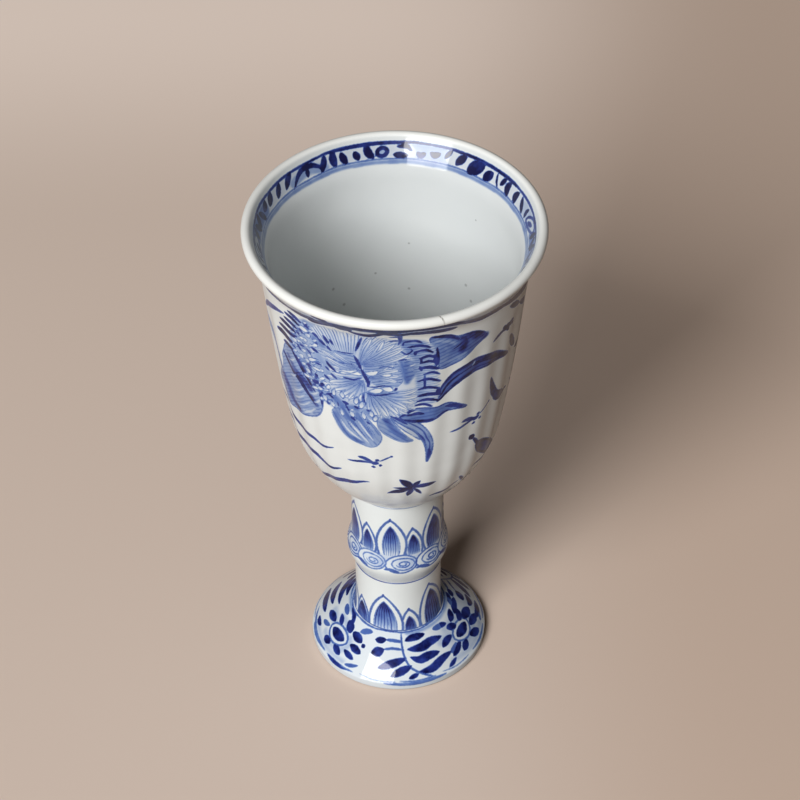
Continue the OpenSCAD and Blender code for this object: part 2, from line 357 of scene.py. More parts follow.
    def keep_on(self, piece, prefix=""):
        """Writes the painting to a piece's vertices as attributes. The painting covers the piece's first
        rows, and the rows after them stay plain."""
        mark(piece, prefix + "wash", self.wash)
        mark(piece, prefix + "ink", self.ink, self.reach)
        mark(piece, prefix + "ink_tone", self.tone)
        mark(piece, prefix + "hatch", self.hatch)
        mark(piece, prefix + "hatching", self.hatching)


def linear(red, green, blue):
    """A colour as a screen shows it, 0 to 255, as the light values that a shader takes."""
    shown = np.array([red, green, blue]) / 255
    light = np.where(shown <= 0.04045, shown / 12.92, ((shown + 0.055) / 1.055) ** 2.4)
    return (*light.tolist(), 1.0)


def add(tree, kind, inputs, **settings):
    """A shader node with its settings and inputs. An input that is a socket is linked."""
    made = tree.nodes.new(kind)
    for key, value in settings.items():
        setattr(made, key, value)
    for key, value in inputs.items():
        if isinstance(value, bpy.types.NodeSocket):
            tree.links.new(value, made.inputs[key])
        else:
            made.inputs[key].default_value = value
    return made


def sums(tree, operation, first, second, third=0.0):
    """The result of a sum on numbers or sockets."""
    return add(tree, "ShaderNodeMath", {0: first, 1: second, 2: third}, operation=operation).outputs[0]


def noise(tree, place, scale, detail):
    """Soft noise, with its scale in features to a metre."""
    inputs = {"Vector": place, "Scale": scale, "Detail": detail}
    return add(tree, "ShaderNodeTexNoise", inputs).outputs["Fac"]


def stored(tree, name):
    """The number that an attribute of the piece keeps at each vertex."""
    return add(tree, "ShaderNodeAttribute", {}, attribute_name=name).outputs["Fac"]


def between(tree, value, low, high, kind="SMOOTHSTEP"):
    """0 where a value is at low and 1 where it is at high, eased between them or straight."""
    return add(tree, "ShaderNodeMapRange", {"Value": value, "From Min": low, "From Max": high},
               interpolation_type=kind).outputs["Result"]


def mixed(tree, share, first, second, blend="MIX"):
    """The first colour with a share of the second laid over it, or multiplied with it."""
    return add(tree, "ShaderNodeMix", {"Factor": share, "A": first, "B": second}, data_type="RGBA",
               blend_type=blend).outputs["Result"]


glaze_coat = 0.4
glaze_roughness = 0.32
cobalt_depths = [(0.25, (165, 185, 225)), (0.5, (95, 125, 195)), (0.8, (45, 62, 150)), (1.0, (18, 20, 76))]


def cobalt_under_glaze(name, white, white_shade, shine=0.05):
    """White porcelain with cobalt painting under a clear, glossy glaze. Ink is dark where the distance to
    its edge is below zero, hatching is a line at each whole phase, stronger and weaker by turns, and the
    colour goes from white through pale and mid blue to blue-black as the cobalt gets denser. Noise breaks
    up edges, lines and density, as a brush on raw clay does, and a slow noise ripples the glaze."""
    material = bpy.data.materials.new(name)
    material.use_nodes = True
    tree = material.node_tree
    tree.nodes.clear()
    place = add(tree, "ShaderNodeTexCoord", {}).outputs["Object"]
    grain = noise(tree, place, 1400.0, 2.0)
    pooling = noise(tree, place, 330.0, 3.0)
    cloud = noise(tree, place, 55.0, 2.0)
    hatch = stored(tree, "hatch")
    ragged = sums(tree, "MULTIPLY_ADD", grain, 0.3, sums(tree, "SUBTRACT", stored(tree, "ink"), 0.15))
    inked = between(tree, ragged, 0.22, -0.22)
    heaped = sums(tree, "MULTIPLY_ADD", pooling, 0.8, 0.6)
    ink_depth = sums(tree, "MULTIPLY", sums(tree, "MULTIPLY", inked, stored(tree, "ink_tone")), heaped)
    wandering = sums(tree, "MULTIPLY_ADD", pooling, 0.7, hatch)
    line = between(tree, sums(tree, "PINGPONG", wandering, 0.5), 0.2, 0.45)
    by_turns = add(tree, "ShaderNodeTexNoise", {"W": hatch, "Scale": 0.9, "Detail": 1.0},
                   noise_dimensions="1D").outputs["Fac"]
    line_strength = sums(tree, "MULTIPLY_ADD", by_turns, 2.6, -0.3)
    hatched = sums(tree, "MULTIPLY", line, stored(tree, "hatching"))
    line_depth = sums(tree, "MULTIPLY", hatched, line_strength)
    wash_depth = sums(tree, "MULTIPLY", sums(tree, "ADD", stored(tree, "wash"), line_depth), heaped)
    depth = sums(tree, "MAXIMUM", ink_depth, wash_depth)
    ramp = add(tree, "ShaderNodeValToRGB", {"Fac": depth})
    deepest, darkest = cobalt_depths[-1]
    ramp.color_ramp.elements[0].color = (1, 1, 1, 1)
    ramp.color_ramp.elements[1].position = deepest
    ramp.color_ramp.elements[1].color = linear(*darkest)
    for position, colour in cobalt_depths[:-1]:
        ramp.color_ramp.elements.new(position).color = linear(*colour)
    body = mixed(tree, cloud, linear(*white), linear(*white_shade))
    painted = mixed(tree, 1.0, body, ramp.outputs["Color"], "MULTIPLY")
    ripple = add(tree, "ShaderNodeBump", {"Height": cloud, "Strength": 0.35, "Distance": 0.0012})
    glaze = add(tree, "ShaderNodeBsdfPrincipled", {
        "Base Color": painted, "Roughness": glaze_roughness, "Specular IOR Level": shine,
        "Coat Weight": glaze_coat, "Coat Roughness": 0.05, "Coat IOR": 1.5,
        "Normal": ripple.outputs["Normal"], "Coat Normal": ripple.outputs["Normal"]})
    glaze.name = "glaze"
    add(tree, "ShaderNodeOutputMaterial", {"Surface": glaze.outputs["BSDF"]})
    return material


foot_high = span("foot")[1]
foot_radius = foot_high[0]
foot_height = foot_high[2]
foot_top_radius = 12.9
foot_edge_height = 2.4
foot_edge_round = 0.8
foot_ring_width = 3.0
foot_ring_depth = 0.9
socket_radius = 8.0
socket_depth = 3.0
foot_row_step = 0.26
foot_columns = 480

dome_top = np.array([foot_top_radius, foot_height])
dome_run = np.array([foot_radius, foot_edge_height]) - dome_top
dome = curve(dome_top + dome_run, dome_top + dome_run * [0.66, 0.56], dome_top + dome_run * [0.25, 0.15],
             dome_top)
ring_outer = foot_radius - foot_edge_round
ring_inner = ring_outer - foot_ring_width
edge = arc([ring_outer, foot_edge_round], foot_edge_round, -90, 0)
foot_side = even(chain(edge, np.array([edge[-1], dome[0]]), dome), foot_row_step)
foot_under = np.array([
    [socket_radius, foot_height],
    [socket_radius, foot_height - socket_depth],
    [ring_inner, foot_ring_depth],
    [ring_inner, 0],
])
foot_angles = np.linspace(0, 2 * np.pi, foot_columns, endpoint=False)
foot_edges = range(len(foot_side) - 1, len(foot_side) + 4)
foot = turned("foot", foot_side, foot_under, foot_angles, creases=foot_edges)

# Painting of the foot: x is true at a radius of 19 mm, and y runs from the stem out to the edge. Three
# flowers and three leaf sprays take turns round the dome, between a base line and a broken edge line. The
# glaze has pooled on the dome, so the white there is a little blue.
foot_along = walked(foot_side[::-1])[::-1]
foot_reference = 19
foot_paint = Painting(foot_angles, foot_side[:, 0], foot_along, foot_reference)
foot_round = 2 * np.pi * foot_reference
pooled_blue = 0.015
foot_mark_tone = 0.9
foot_brush = 1.15
foot_paint.wash += pooled_blue
for start in np.arange(0, foot_round, 10.0):
    wander = 0.25 * np.sin(1.7 * start)
    foot_paint.brush([[start - 1, 0.3], [start + 5, 0.3 + wander], [start + 11, 0.3]], 0.5, 0.66, blunt=0.3)
    foot_paint.brush([[start, 14.3 + wander], [start + 4, 14.6], [start + 8.5, 14.4]], 0.6 + wander, 0.5,
                     blunt=0.4)
foot_paint.strokes([
    ([[-3.4, 15.1], [3, 15.3], [11, 15.0]], 1.1),
    ([[-34, 13.2], [-28, 14.1], [-20, 14.4]], 0.9),
    ([[36.5, 15.0], [44, 15.2], [51, 15.0]], 1.1),
], tone=0.5, blunt=0.35)
foot_paint.strokes([([[-19, 14.4], [-15.5, 14.8], [-12.5, 14.6]], 1.2)], tone=0.85)

# A flower has a dark oval in a white ring, with petal dabs and a curled stalk round it, and thin cobalt that
# has run between them. The marks are for a flower at x = 0.
flower_marks = [
    ([[-1.0, 3.2], [1.2, 4.0], [3.2, 5.4]], 2.3), ([[-5.4, 4.4], [-3.4, 5.0], [-1.3, 6.1]], 1.5),
    ([[-9.4, 8.2], [-6.8, 7.4], [-4.2, 7.1]], 2.1), ([[-2.9, 12], [-1.4, 11.9], [0.1, 12]], 2.0),
    ([[1.1, 11], [2.6, 11.5], [4.4, 12.3]], 1.8), ([[4.6, 10.1], [6.2, 10.6], [8.3, 11.2]], 1.5),
    ([[5.3, 7.9], [7.2, 8.2], [9.5, 8.8]], 1.9), ([[3.6, 4.6], [5.6, 4.9], [8.4, 5.8]], 2.2),
    ([[8.7, 6.0], [9.8, 6.8]], 1.1), ([[-5.5, 0.7], [-1.5, 1.2], [0.7, 2.6], [1.5, 4]], 1.1),
    ([[-9.9, 12.4], [-8.2, 12.6], [-6.4, 12.2]], 1.3),
]
flower_pale_marks = [
    ([[-8.6, 2.2], [-6, 2.5], [-3.4, 2.8]], 1.7), ([[5.8, 3.3], [8, 2.2], [10.2, 1.7]], 1.8),
    ([[6.8, 13.5], [8.5, 13], [10.1, 12.2]], 1.1), ([[-7.6, 10.7], [-6, 10.1], [-4.4, 9.3]], 1.4),
]
right_flower_marks = [
    ([[-8.8, 8.1], [-6.6, 7.1], [-4.0, 6.8]], 1.9), ([[-3.9, 4.5], [-2, 5.2], [0, 6.1]], 2.0),
    ([[-6.8, 2.5], [-4.6, 2.7], [-2.3, 3.4]], 1.4), ([[-0.8, 4.2], [1.6, 3.4], [4, 2.2]], 1.9),
    ([[1.7, 6.3], [3.8, 5.8], [6, 4.7]], 2.0), ([[3.2, 4.3], [6.8, 3.6], [10.6, 3.8]], 1.9),
    ([[3.4, 7.4], [6, 7.8], [9, 9]], 2.6), ([[3.2, 10.1], [5.4, 10.6], [8, 11.6]], 2.2),
    ([[0.4, 11.2], [2, 12.2], [4.2, 13.2]], 2.2), ([[-4.1, 12.7], [-2.7, 11.9], [-1.1, 11]], 2.0),
    ([[-7.4, 11.9], [-5.2, 10.8], [-3.1, 9.9]], 1.8),
]
flower_tints = [
    ([[-8.6, 6.6], [-6, 6.4], [-4.4, 7.4]], 2.2), ([[-4.6, 4.4], [-1.6, 4.2], [1.6, 4.8]], 1.8),
    ([[4.2, 6.6], [5.2, 8.4], [4.2, 10.4]], 1.8), ([[-4, 11.2], [-0.6, 11.8], [3.6, 11.2]], 1.6),
    ([[-8, 12.8], [-2, 13.4], [6, 13.2]], 1.4),
]
# A broad faint wash over the right of the dome: partly thin cobalt, partly painted shade.
foot_paint.tint([[19, 8], [26, 7.8], [33, 7.4]], 9.0, 0.1, soft=2.5)
foot_paint.tint([[-37, 1.2], [-30, 0.9], [-23, 1.2]], 1.0, 0.3, soft=0.6)
foot_paint.tint([[3, 0.7], [18, 0.9], [34, 0.8]], 0.9, 0.3, soft=0.6)
for flower_x, dark_marks in ((-20.5, flower_marks), (22.0, right_flower_marks), (61.0, flower_marks)):
    for points, width in flower_tints:
        foot_paint.tint(np.array(points) + [flower_x, 0], width, 0.16)
    foot_paint.petal([[flower_x - 4.1, 8.4], [flower_x, 8.4], [flower_x + 4.1, 8.4]], 5.3, wash=(0.04, 0.04),
                     outline=0.65, tone=0.56, blunt=0.5)
    foot_paint.strokes(flower_pale_marks, 0.58, at=(flower_x, 0))
    foot_paint.strokes(dark_marks, foot_mark_tone, blunt=0.6, at=(flower_x, 0), brush=foot_brush)
    foot_paint.dab(flower_x, 8.4, 6.0, 2.9, blunt=0.55)

# A spray of leaves has a thin stalk that curves out to the edge, with leaves on both sides of it.
spray_leaves = [
    ([[-8.4, 3.3], [-6.4, 3.1], [-4.4, 2.6]], 1.7), ([[-8.2, 7.3], [-6.3, 6.5], [-4.6, 5.5]], 2.5),
    ([[-5.4, 11.1], [-2, 9.4], [2.1, 7.8]], 2.1), ([[-2.0, 13.0], [0.3, 11.6], [3.3, 10.1]], 2.1),
    ([[2.2, 13.7], [3.4, 13.2], [4.7, 12.6]], 1.2), ([[2.1, 2.9], [5.2, 2.2], [9.9, 2.2]], 1.9),
    ([[2.5, 5.4], [7, 5.5], [10.5, 4.8], [15, 5.2]], 2.3),
    ([[3.1, 7.6], [5.6, 8.8], [8.4, 8.4], [11.8, 8.6]], 2.2),
    ([[4.6, 12.3], [8, 12.2], [11.5, 10.8], [15, 10.3]], 2.1),
    ([[12.2, 13.9], [13.7, 13.3], [15.1, 12.6]], 1.1),
]
spray_stalks = [
    ([[0.9, 0.6], [1.0, 4], [1.6, 7.5], [3.0, 10.6], [5.5, 12.8], [8.2, 14.6]], 0.65),
    ([[-4.4, 2.7], [-2, 2.7], [0.8, 3.0]], 1.0), ([[-4.6, 5.5], [-2, 5.0], [0.8, 5.3]], 0.8),
]
for root_x in (0.0, 41.0):
    foot_paint.strokes(spray_stalks, 0.62, blunt=0.25, at=(root_x, 0))
    foot_paint.strokes(spray_leaves, foot_mark_tone, blunt=0.65, at=(root_x, 0), brush=foot_brush)
foot_paint.strokes([
    ([[-46, 3.2], [-40, 3.2], [-33.4, 2.6]], 2.0), ([[-47, 5.8], [-38, 5.2], [-30.6, 5.0]], 2.3),
    ([[-42, 9.4], [-36.6, 8.6], [-32, 7.5]], 2.2), ([[-40, 12.4], [-35, 11.2], [-30.4, 10.2]], 2.2),
    ([[-50, 8.0], [-46, 8.2], [-43, 7.6]], 1.8), ([[-50, 11.5], [-47, 11], [-44, 11.4]], 1.8),
    ([[28.4, 11.4], [31.4, 12.4], [35, 12.6]], 2.0), ([[31.6, 9.2], [33.8, 9.9], [36.2, 9.2]], 2.2),
    ([[29, 1.5], [31.5, 2.0], [34.4, 1.4]], 1.5),
], foot_mark_tone, blunt=0.6)
foot_paint.strokes([([[-52, 0.8], [-46, 1.8], [-38, 1.4], [-30, 0.6]], 0.6)], tone=0.62)
foot_paint.keep_on(foot)

# The ring that the cup stands on has no glaze: the rows at its two edges are marked as bare.
bare = np.zeros(len(foot.data.vertices))
bare[:foot_columns] = 1
bare[-foot_columns:] = 1
mark(foot, "bare", bare)

porcelain_white = (237, 241, 239)
porcelain_shade = (230, 235, 234)
foot_glaze = cobalt_under_glaze("painted_foot_glaze", (227, 233, 235), (219, 226, 230))
foot_tree = foot_glaze.node_tree
foot_shader = foot_tree.nodes["glaze"].inputs
foot_coat = 0.65
bare_roughening = 0.5
bare_share = stored(foot_tree, "bare")
foot_coating = sums(foot_tree, "MULTIPLY_ADD", bare_share, -foot_coat, foot_coat)
foot_roughness = sums(foot_tree, "MULTIPLY_ADD", bare_share, bare_roughening, glaze_roughness)
foot_tree.links.new(foot_coating, foot_shader["Coat Weight"])
foot_tree.links.new(foot_roughness, foot_shader["Roughness"])
foot.data.materials.append(foot_glaze)
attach(foot, "root")
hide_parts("foot")

# Foot luting
# The layer of slip that joins the lower stem to the foot, squeezed out a little at its edge.
# A dark line of cobalt covers it, where the petals of the stem start.
slip_thickness = 0.4
tenon_radius = 7.6
luting_bulge = 0.12
luting_rows = 5
luting_angles = np.linspace(0, 2 * np.pi, 240, endpoint=False)


def luting(name, radius, cobalt):
    """A layer of slip: a flat ring with a rounded edge, and the sleeve round the tenon. The cobalt line
    that covers its edge has the given density."""
    low, high = span(name)
    bottom, top = low[2], high[2]
    rise = np.linspace(0, 1, luting_rows)
    side = np.column_stack([radius + luting_bulge * np.sin(np.pi * rise), top + slip_thickness * (rise - 1)])
    sleeve = np.array([
        [tenon_radius, top],
        [tenon_radius, bottom],
        [socket_radius, bottom],
        [socket_radius, top - slip_thickness],
    ])
    ring = turned(name, side, sleeve, luting_angles, creases=range(luting_rows - 1, luting_rows + 4))
    paint = Painting(luting_angles, side[:, 0], walked(side), radius)
    paint.wash += cobalt * (0.85 + 0.15 * np.sin(5 * luting_angles) * np.sin(3 * luting_angles + 1))
    paint.keep_on(ring)
    ring.data.materials.append(slip_glaze)
    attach(ring, "root")
    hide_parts(name)


slip_glaze = cobalt_under_glaze("glazed_slip", (230, 230, 224), (220, 221, 216))
lower_base_radius = 12.7
luting("foot_luting", lower_base_radius, 0.66)

# Lower stem
# A hollow thrown tube that spreads a little towards the foot, with a tenon below and a socket above.
# A ring of pointed lotus petals with hatched hearts stands round its base.
tenon_length = 3.4
stem_hollow_radius = 5.5
stem_row_step = 0.28
stem_angles = np.linspace(0, 2 * np.pi, 330, endpoint=False)
lower_slim_radius = 12.1
waist_radius = 12.3


def stem_core(shoulder, top):
    """The hidden profile of a stem piece, from its top face down the socket and the hollow to its tenon."""
    return np.array([
        [socket_radius, top],
        [socket_radius, top - tenon_length],
        [stem_hollow_radius, top - tenon_length],
        [stem_hollow_radius, shoulder - tenon_length],
        [tenon_radius, shoulder - tenon_length],
        [tenon_radius, shoulder],
    ])


petal_line_tone = 0.56


def lotus_petal(paint, x, base, tip, width, heart_tip, heart_width, heart_depth, lean, below=0.75):
    """A pointed lotus petal: an outline with a flick at its tip, a white band, and a hatched heart that is
    darkest at its tip. Both spines start below the base, by a share of the petal's height, so the sides are
    still wide there."""
    low = base - below * (tip - base)
    spine = [[x, low], [x, (low + tip) / 2], [x + lean, tip]]
    paint.petal(spine, width, (0.03, 0.0), outline=0.7, tone=petal_line_tone, blunt=0.75)
    flick = [[x + lean - 0.6, tip - 0.8], [x + lean - 0.1, tip], [x + lean, tip + 0.7]]
    paint.brush(flick, 0.75, petal_line_tone + 0.15)
    heart_low = base - below * (heart_tip - base)
    heart_spine = [[x, heart_low], [x, (heart_low + heart_tip) / 2], [x + 0.7 * lean, heart_tip]]
    paint.petal(heart_spine, heart_width, heart_depth, lines=7, lines_share=0.26, outline=0.3, tone=0.6,
                blunt=0.75, clear=False)


lower_low, lower_high = span("lower_stem")
lower_shoulder = lower_low[2] + tenon_length
lower_top = lower_high[2]
lower_length = lower_top - lower_shoulder
lower_side = even(curve(
    [lower_base_radius, lower_shoulder],
    [lower_slim_radius, lower_shoulder + 0.25 * lower_length],
    [lower_slim_radius, lower_shoulder + 0.6 * lower_length],
    [waist_radius, lower_top],
), stem_row_step)
lower_stem = turned("lower_stem", lower_side, stem_core(lower_shoulder, lower_top), stem_angles,
                    creases=[0, *range(len(lower_side) - 1, len(lower_side) + 6)])
lower_reference = 12
lower_petals = 5
lower_base = -0.5
lower_paint = Painting(stem_angles, lower_side[:, 0], walked(lower_side), lower_reference)
lower_period = 2 * np.pi * lower_reference / lower_petals
for count in range(lower_petals):
    small_x = 3.4 + count * lower_period
    heart_tip = (4.9, 6.2, 5.4)[count % 3]
    heart_width = (3.2, 4.6, 3.8)[count % 3]
    small_tip = 7.6 + 0.3 * np.sin(2 * count)
    lotus_petal(lower_paint, small_x, lower_base, small_tip, 5.6, heart_tip, heart_width, (0.2, 1.0), -0.5)
for count in range(lower_petals):
    large_x = -3.8 + count * lower_period
    large_tip = (12.8, 14.6, 12.4)[count % 3]
    large_lean = (-0.5, -1.9, -0.2)[count % 3]
    heart_root = (-0.5, 0.2, -0.1)[count % 3]
    lotus_petal(lower_paint, large_x, lower_base, large_tip, 10.4, large_tip - 2.3, 7.0, (heart_root, 0.95),
                large_lean)
lower_paint.keep_on(lower_stem)
stem_glaze = cobalt_under_glaze("painted_stem_glaze", porcelain_white, porcelain_shade)
lower_stem.data.materials.append(stem_glaze)
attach(lower_stem, "root")
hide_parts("lower_stem")

# Stem luting
# The layer of slip between the two stem pieces, under the knop. A thin cobalt ring line covers the joint.
luting("stem_luting", waist_radius, 0.78)

# Upper stem
# A hollow thrown collar that swells into a knop just above the joint, with a socket for the bowl's tenon.
# Lotus petals stand on a row of spiral clouds that runs round the knop.
upper_low, upper_high = span("upper_stem")
upper_shoulder = upper_low[2] + tenon_length
upper_top = upper_high[2]
knop_radius = upper_high[0]
knop_height = 6.2
knop_slope = 8.0
collar_radius = 12.95
upper_top_radius = 12.85
shoulder = np.array([waist_radius, upper_shoulder])
knop = np.array([knop_radius, upper_shoulder + knop_height])
collar = np.array([collar_radius, knop[1] + knop_slope])
upper_end = np.array([upper_top_radius, upper_top])
upper_side = even(chain(
    curve(shoulder, shoulder + 0.3 * (knop - shoulder), knop - [0, 0.35 * knop_height], knop),
    curve(knop, knop + [0, 0.25 * knop_slope], collar - [0, 0.5 * knop_slope], collar),
    curve(collar, collar + [0, 0.3 * (upper_top - collar[1])], (collar + upper_end) / 2, upper_end),
), stem_row_step)
upper_stem = turned("upper_stem", upper_side, stem_core(upper_shoulder, upper_top), stem_angles,
                    creases=[0, *range(len(upper_side) - 1, len(upper_side) + 6)])
upper_reference = 13
upper_petals = 6
upper_paint = Painting(stem_angles, upper_side[:, 0], walked(upper_side), upper_reference)
upper_round = 2 * np.pi * upper_reference
upper_period = upper_round / upper_petals
petal_base = 12.3
for count in range(upper_petals):
    small_x = 4.6 + count * upper_period
    small_tip = 22 + 0.3 * np.sin(2 * count)
    lotus_petal(upper_paint, small_x, petal_base, small_tip, 5.3, 19.7, 3.4, (0.0, 1.05), -0.4, below=0.5)
for count in range(upper_petals):
    large_x = -1.9 + count * upper_period
    large_tip = 25.8 + 0.4 * np.sin(2.2 * count)
    heart_root = (-0.3, 0.4, 0.2)[count % 3]
    heart_width = (4.9, 5.9, 5.4)[count % 3]
    lotus_petal(upper_paint, large_x, petal_base, large_tip, 8.6, large_tip - 2.4, heart_width,
                (heart_root, 0.95), -0.2, below=0.4)
below = upper_paint.y < petal_base
upper_paint.wash[below] = 0
upper_paint.hatching[below] = 0
upper_paint.ink[below] = Painting.reach

# Each cloud is an oval with a white band, and a spiral of nearly two turns on a pale ground inside it. A
# pale wash lies behind the row.
cloud_count = 10
cloud_y = 9.4
upper_paint.tint([[-42, 11.2], [-21, 11.2], [0, 11.2], [21, 11.2], [42, 11.2]], 2.6, 0.13, soft=0.8)
spiral_steps = 24
spiral_turns = np.radians(np.linspace(190, 800, spiral_steps))
spiral_shrink = np.linspace(1, 0.25, spiral_steps)
for count in range(cloud_count):
    cloud_x = 1.0 + 0.4 * np.sin(2.6 * count) + count * upper_round / cloud_count
    cloud_tone = 0.58 + 0.08 * np.sin(1.9 * count)
    outer = [[cloud_x - 4.5, cloud_y - 0.5], [cloud_x, cloud_y], [cloud_x + 4.3, cloud_y]]
    inner = [[cloud_x - 2.7, cloud_y + 0.1], [cloud_x + 0.4, cloud_y], [cloud_x + 3.5, cloud_y]]
    upper_paint.petal(outer, 5.9, (0.06, 0.12), outline=0.5, tone=cloud_tone, blunt=0.5)
    upper_paint.petal(inner, 3.9, (0.08, 0.18), outline=0.45, tone=cloud_tone, blunt=0.5)
    spiral = np.column_stack([cloud_x + 0.5 + 2.0 * spiral_shrink * np.cos(spiral_turns),
                              cloud_y + 1.15 * spiral_shrink * np.sin(spiral_turns)])
    upper_paint.brush(spiral, 0.45, cloud_tone + 0.06, blunt=0.2)
    upper_paint.brush([[cloud_x - 2.4, 10.6], [cloud_x - 0.6, 11.2], [cloud_x + 1.6, 11.1]], 0.5, cloud_tone)
    upper_paint.brush([[cloud_x - 4.8, 7.4], [cloud_x - 3.2, 7.6], [cloud_x - 0.6, 6.7]], 1.0, 0.66)
upper_paint.keep_on(upper_stem)
upper_stem.data.materials.append(stem_glaze)
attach(upper_stem, "root")
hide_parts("upper_stem")

# Bowl luting
# The layer of slip that joins the bowl to the stem, in the angle under the bowl, with a faint line of
# cobalt.
luting("bowl_luting", upper_top_radius, 0.25)

# Bowl, outside
# The bowl is thrown, then pressed over a mould that gives its outside 26 shallow ribs. It is cobalt painted
# on the raw clay, with a peony, insects and sprigs, and glazed. This is the outer half of its wall.
bowl_low, bowl_high = span("bowl")
lip_radius = bowl_high[0]
lip_top = bowl_high[2]
seat_z = bowl_low[2] + tenon_length
lip_round = 1.35
lip_flare = 30.0
inner_flare = 28.0
neck_depth = 11.0
neck_radius = 35.7
neck_lean = np.array([0.12, 1])
belly_height = 28.1
belly_radius = 29.0
belly_lean = np.array([0.18, 1])
bowl_wall = 2.7
bowl_floor = 5.0
neck_z = lip_top - neck_depth
belly_z = seat_z + belly_height
lip_centre = np.array([lip_radius - lip_round, lip_top - lip_round])

# How far the handles of the bowl's curves reach, as shares of the run that each belongs to.
wall_leaves = 0.42
wall_arrives = 0.39
floor_leaves = 0.5
floor_arrives = 0.68
underside_leaves = 0.24
underside_arrives = 0.49


def bowl_wall_line(depth, flare_angle, flare_reach, lip_end):
    """The wall's profile from the belly over the neck to the lip, moved in by the given depth. It meets the
    lip at an angle from the upright, with handles that are shares of the neck's depth."""
    belly = np.array([belly_radius - depth, belly_z])
    neck = np.array([neck_radius - depth, neck_z])
    rise = neck_z - belly_z
    flare = np.array([np.sin(np.radians(flare_angle)), np.cos(np.radians(flare_angle))])
    leave = neck + flare_reach[0] * neck_depth * neck_lean
    arrive = lip_end - flare_reach[1] * neck_depth * flare
    return chain(
        curve(belly, belly + wall_leaves * rise * belly_lean, neck - wall_arrives * rise * neck_lean, neck),
        curve(neck, leave, arrive, lip_end),
    )


def bowl_floor_line(depth, floor_z):
    """The profile of the rounded bottom from the axis out to the belly, moved in by the given depth."""
    belly = np.array([belly_radius - depth, belly_z])
    leave = [floor_leaves * belly[0], floor_z]
    arrive = belly - floor_arrives * (belly_z - floor_z) * belly_lean
    return curve([0, floor_z], leave, arrive, belly)


seat_edge = np.array([upper_top_radius, seat_z])
outer_belly = np.array([belly_radius, belly_z])
under_leave = seat_edge + underside_leaves * belly_height
under_arrive = outer_belly - underside_arrives * belly_height * belly_lean
underside = curve(seat_edge, under_leave, under_arrive, outer_belly)
under_lip = arc(lip_centre, lip_round, -lip_flare, 0)[0]
outside_line = chain(underside, bowl_wall_line(0, lip_flare, (0.4, 0.4), under_lip))
outside_length = walked(outside_line)[-1]
plain_height = 18.0
plain_rows = 16
painted_rows = 250
outside_places = np.concatenate([np.linspace(0, plain_height, plain_rows, endpoint=False),
                                 np.linspace(plain_height, outside_length, painted_rows)])
outside_side = along(outside_line, outside_places)
half_wall = bowl_wall / 2
middle_floor_z = seat_z + bowl_floor / 2
middle_flare = (lip_flare + inner_flare) / 2
middle_line = chain(bowl_floor_line(half_wall, middle_floor_z),
                    bowl_wall_line(half_wall, middle_flare, (0.3, 0.5), lip_centre))
hidden_row_step = 9.0
middle_side = even(middle_line, hidden_row_step)
tenon_bottom = bowl_low[2]
outside_core = np.vstack([
    middle_side[::-1],
    [[0, tenon_bottom], [tenon_radius, tenon_bottom], [tenon_radius, seat_z]],
])

# The columns stand closer together at the front.
bowl_columns = 350
front_crowding = 0.5
round_share = np.linspace(0, 1, bowl_columns, endpoint=False)
bowl_angles = 2 * np.pi * round_share - front_crowding * np.sin(2 * np.pi * round_share) - np.pi / 2

# A rib is the crest between two grooves. The grooves fade out towards the stem and towards the neck.
rib_count = 26
rib_depth = 0.3
rib_turn = np.radians(-86.7)
rib_start = seat_z + 0.2 * belly_height
rib_full = seat_z + 0.7 * belly_height
rib_fade = 1.2 * neck_depth
rib_share = ease(outside_side[:, 1], rib_start, rib_full) * ease(neck_z - outside_side[:, 1], 0, rib_fade)
groove = np.sin((bowl_angles - rib_turn) * rib_count / 2) ** 2
ribs = rib_depth * rib_share[:, None] * groove[None, :]
core_start = len(outside_side)
core_end = core_start + len(outside_core)
bowl_outside = turned("bowl_outside", outside_side, outside_core, bowl_angles,
                      creases=[0, core_start - 1, core_start, core_end - 2, core_end - 1], relief=ribs)

# Painting of the bowl: x is true at a radius of 32 mm, and y runs up the wall, from 31.9 at the belly. The
# motifs of the front come back on the far side.
belly_y = 31.9
outside_along = walked(outside_side) - walked(underside)[-1] + belly_y
bowl_reference = 32
bowl_paint = Painting(bowl_angles, outside_side[:, 0], outside_along, bowl_reference, repeats=2)

# Pale ground of the peony, with cloudy patches at its left.
bowl_paint.patch([[-26.5, 84], [-21, 87], [-13, 88], [-5, 88.2], [0, 86.8], [4, 82], [5, 77], [6, 70],
                  [6, 64.5], [3.5, 60], [-1, 57], [-7, 55], [-15, 55.5], [-19.5, 57], [-24, 60.5],
                  [-28, 66], [-30, 72], [-28, 78.5]], wash=(0.28, 0.1), lines_share=0, rim=0, soft=0.6)
bowl_paint.tints([
    ([[-25.5, 82], [-24.5, 79], [-25, 76]], 3.0, 0.26), ([[-22, 85.5], [-20.5, 83], [-19, 81]], 2.6, 0.32),
    ([[-20, 80.5], [-17.5, 79.5], [-16, 81]], 2.4, 0.42), ([[-24.5, 75.5], [-23, 73]], 2.4, 0.42),
    ([[-19.5, 74.5], [-18.5, 71], [-19, 68]], 2.2, 0.32), ([[-26, 69.5], [-24, 67], [-22, 65.5]], 2.4, 0.4),
    ([[-17.5, 69], [-15.5, 67.5], [-14.5, 66]], 2.0, 0.38),
    ([[-24.5, 62.5], [-21.5, 60.5], [-19, 60]], 2.4, 0.38),
    ([[-16, 60], [-13.5, 58], [-11, 58]], 3.0, 0.46), ([[-8, 58], [-6, 56.5]], 2.2, 0.42),
])

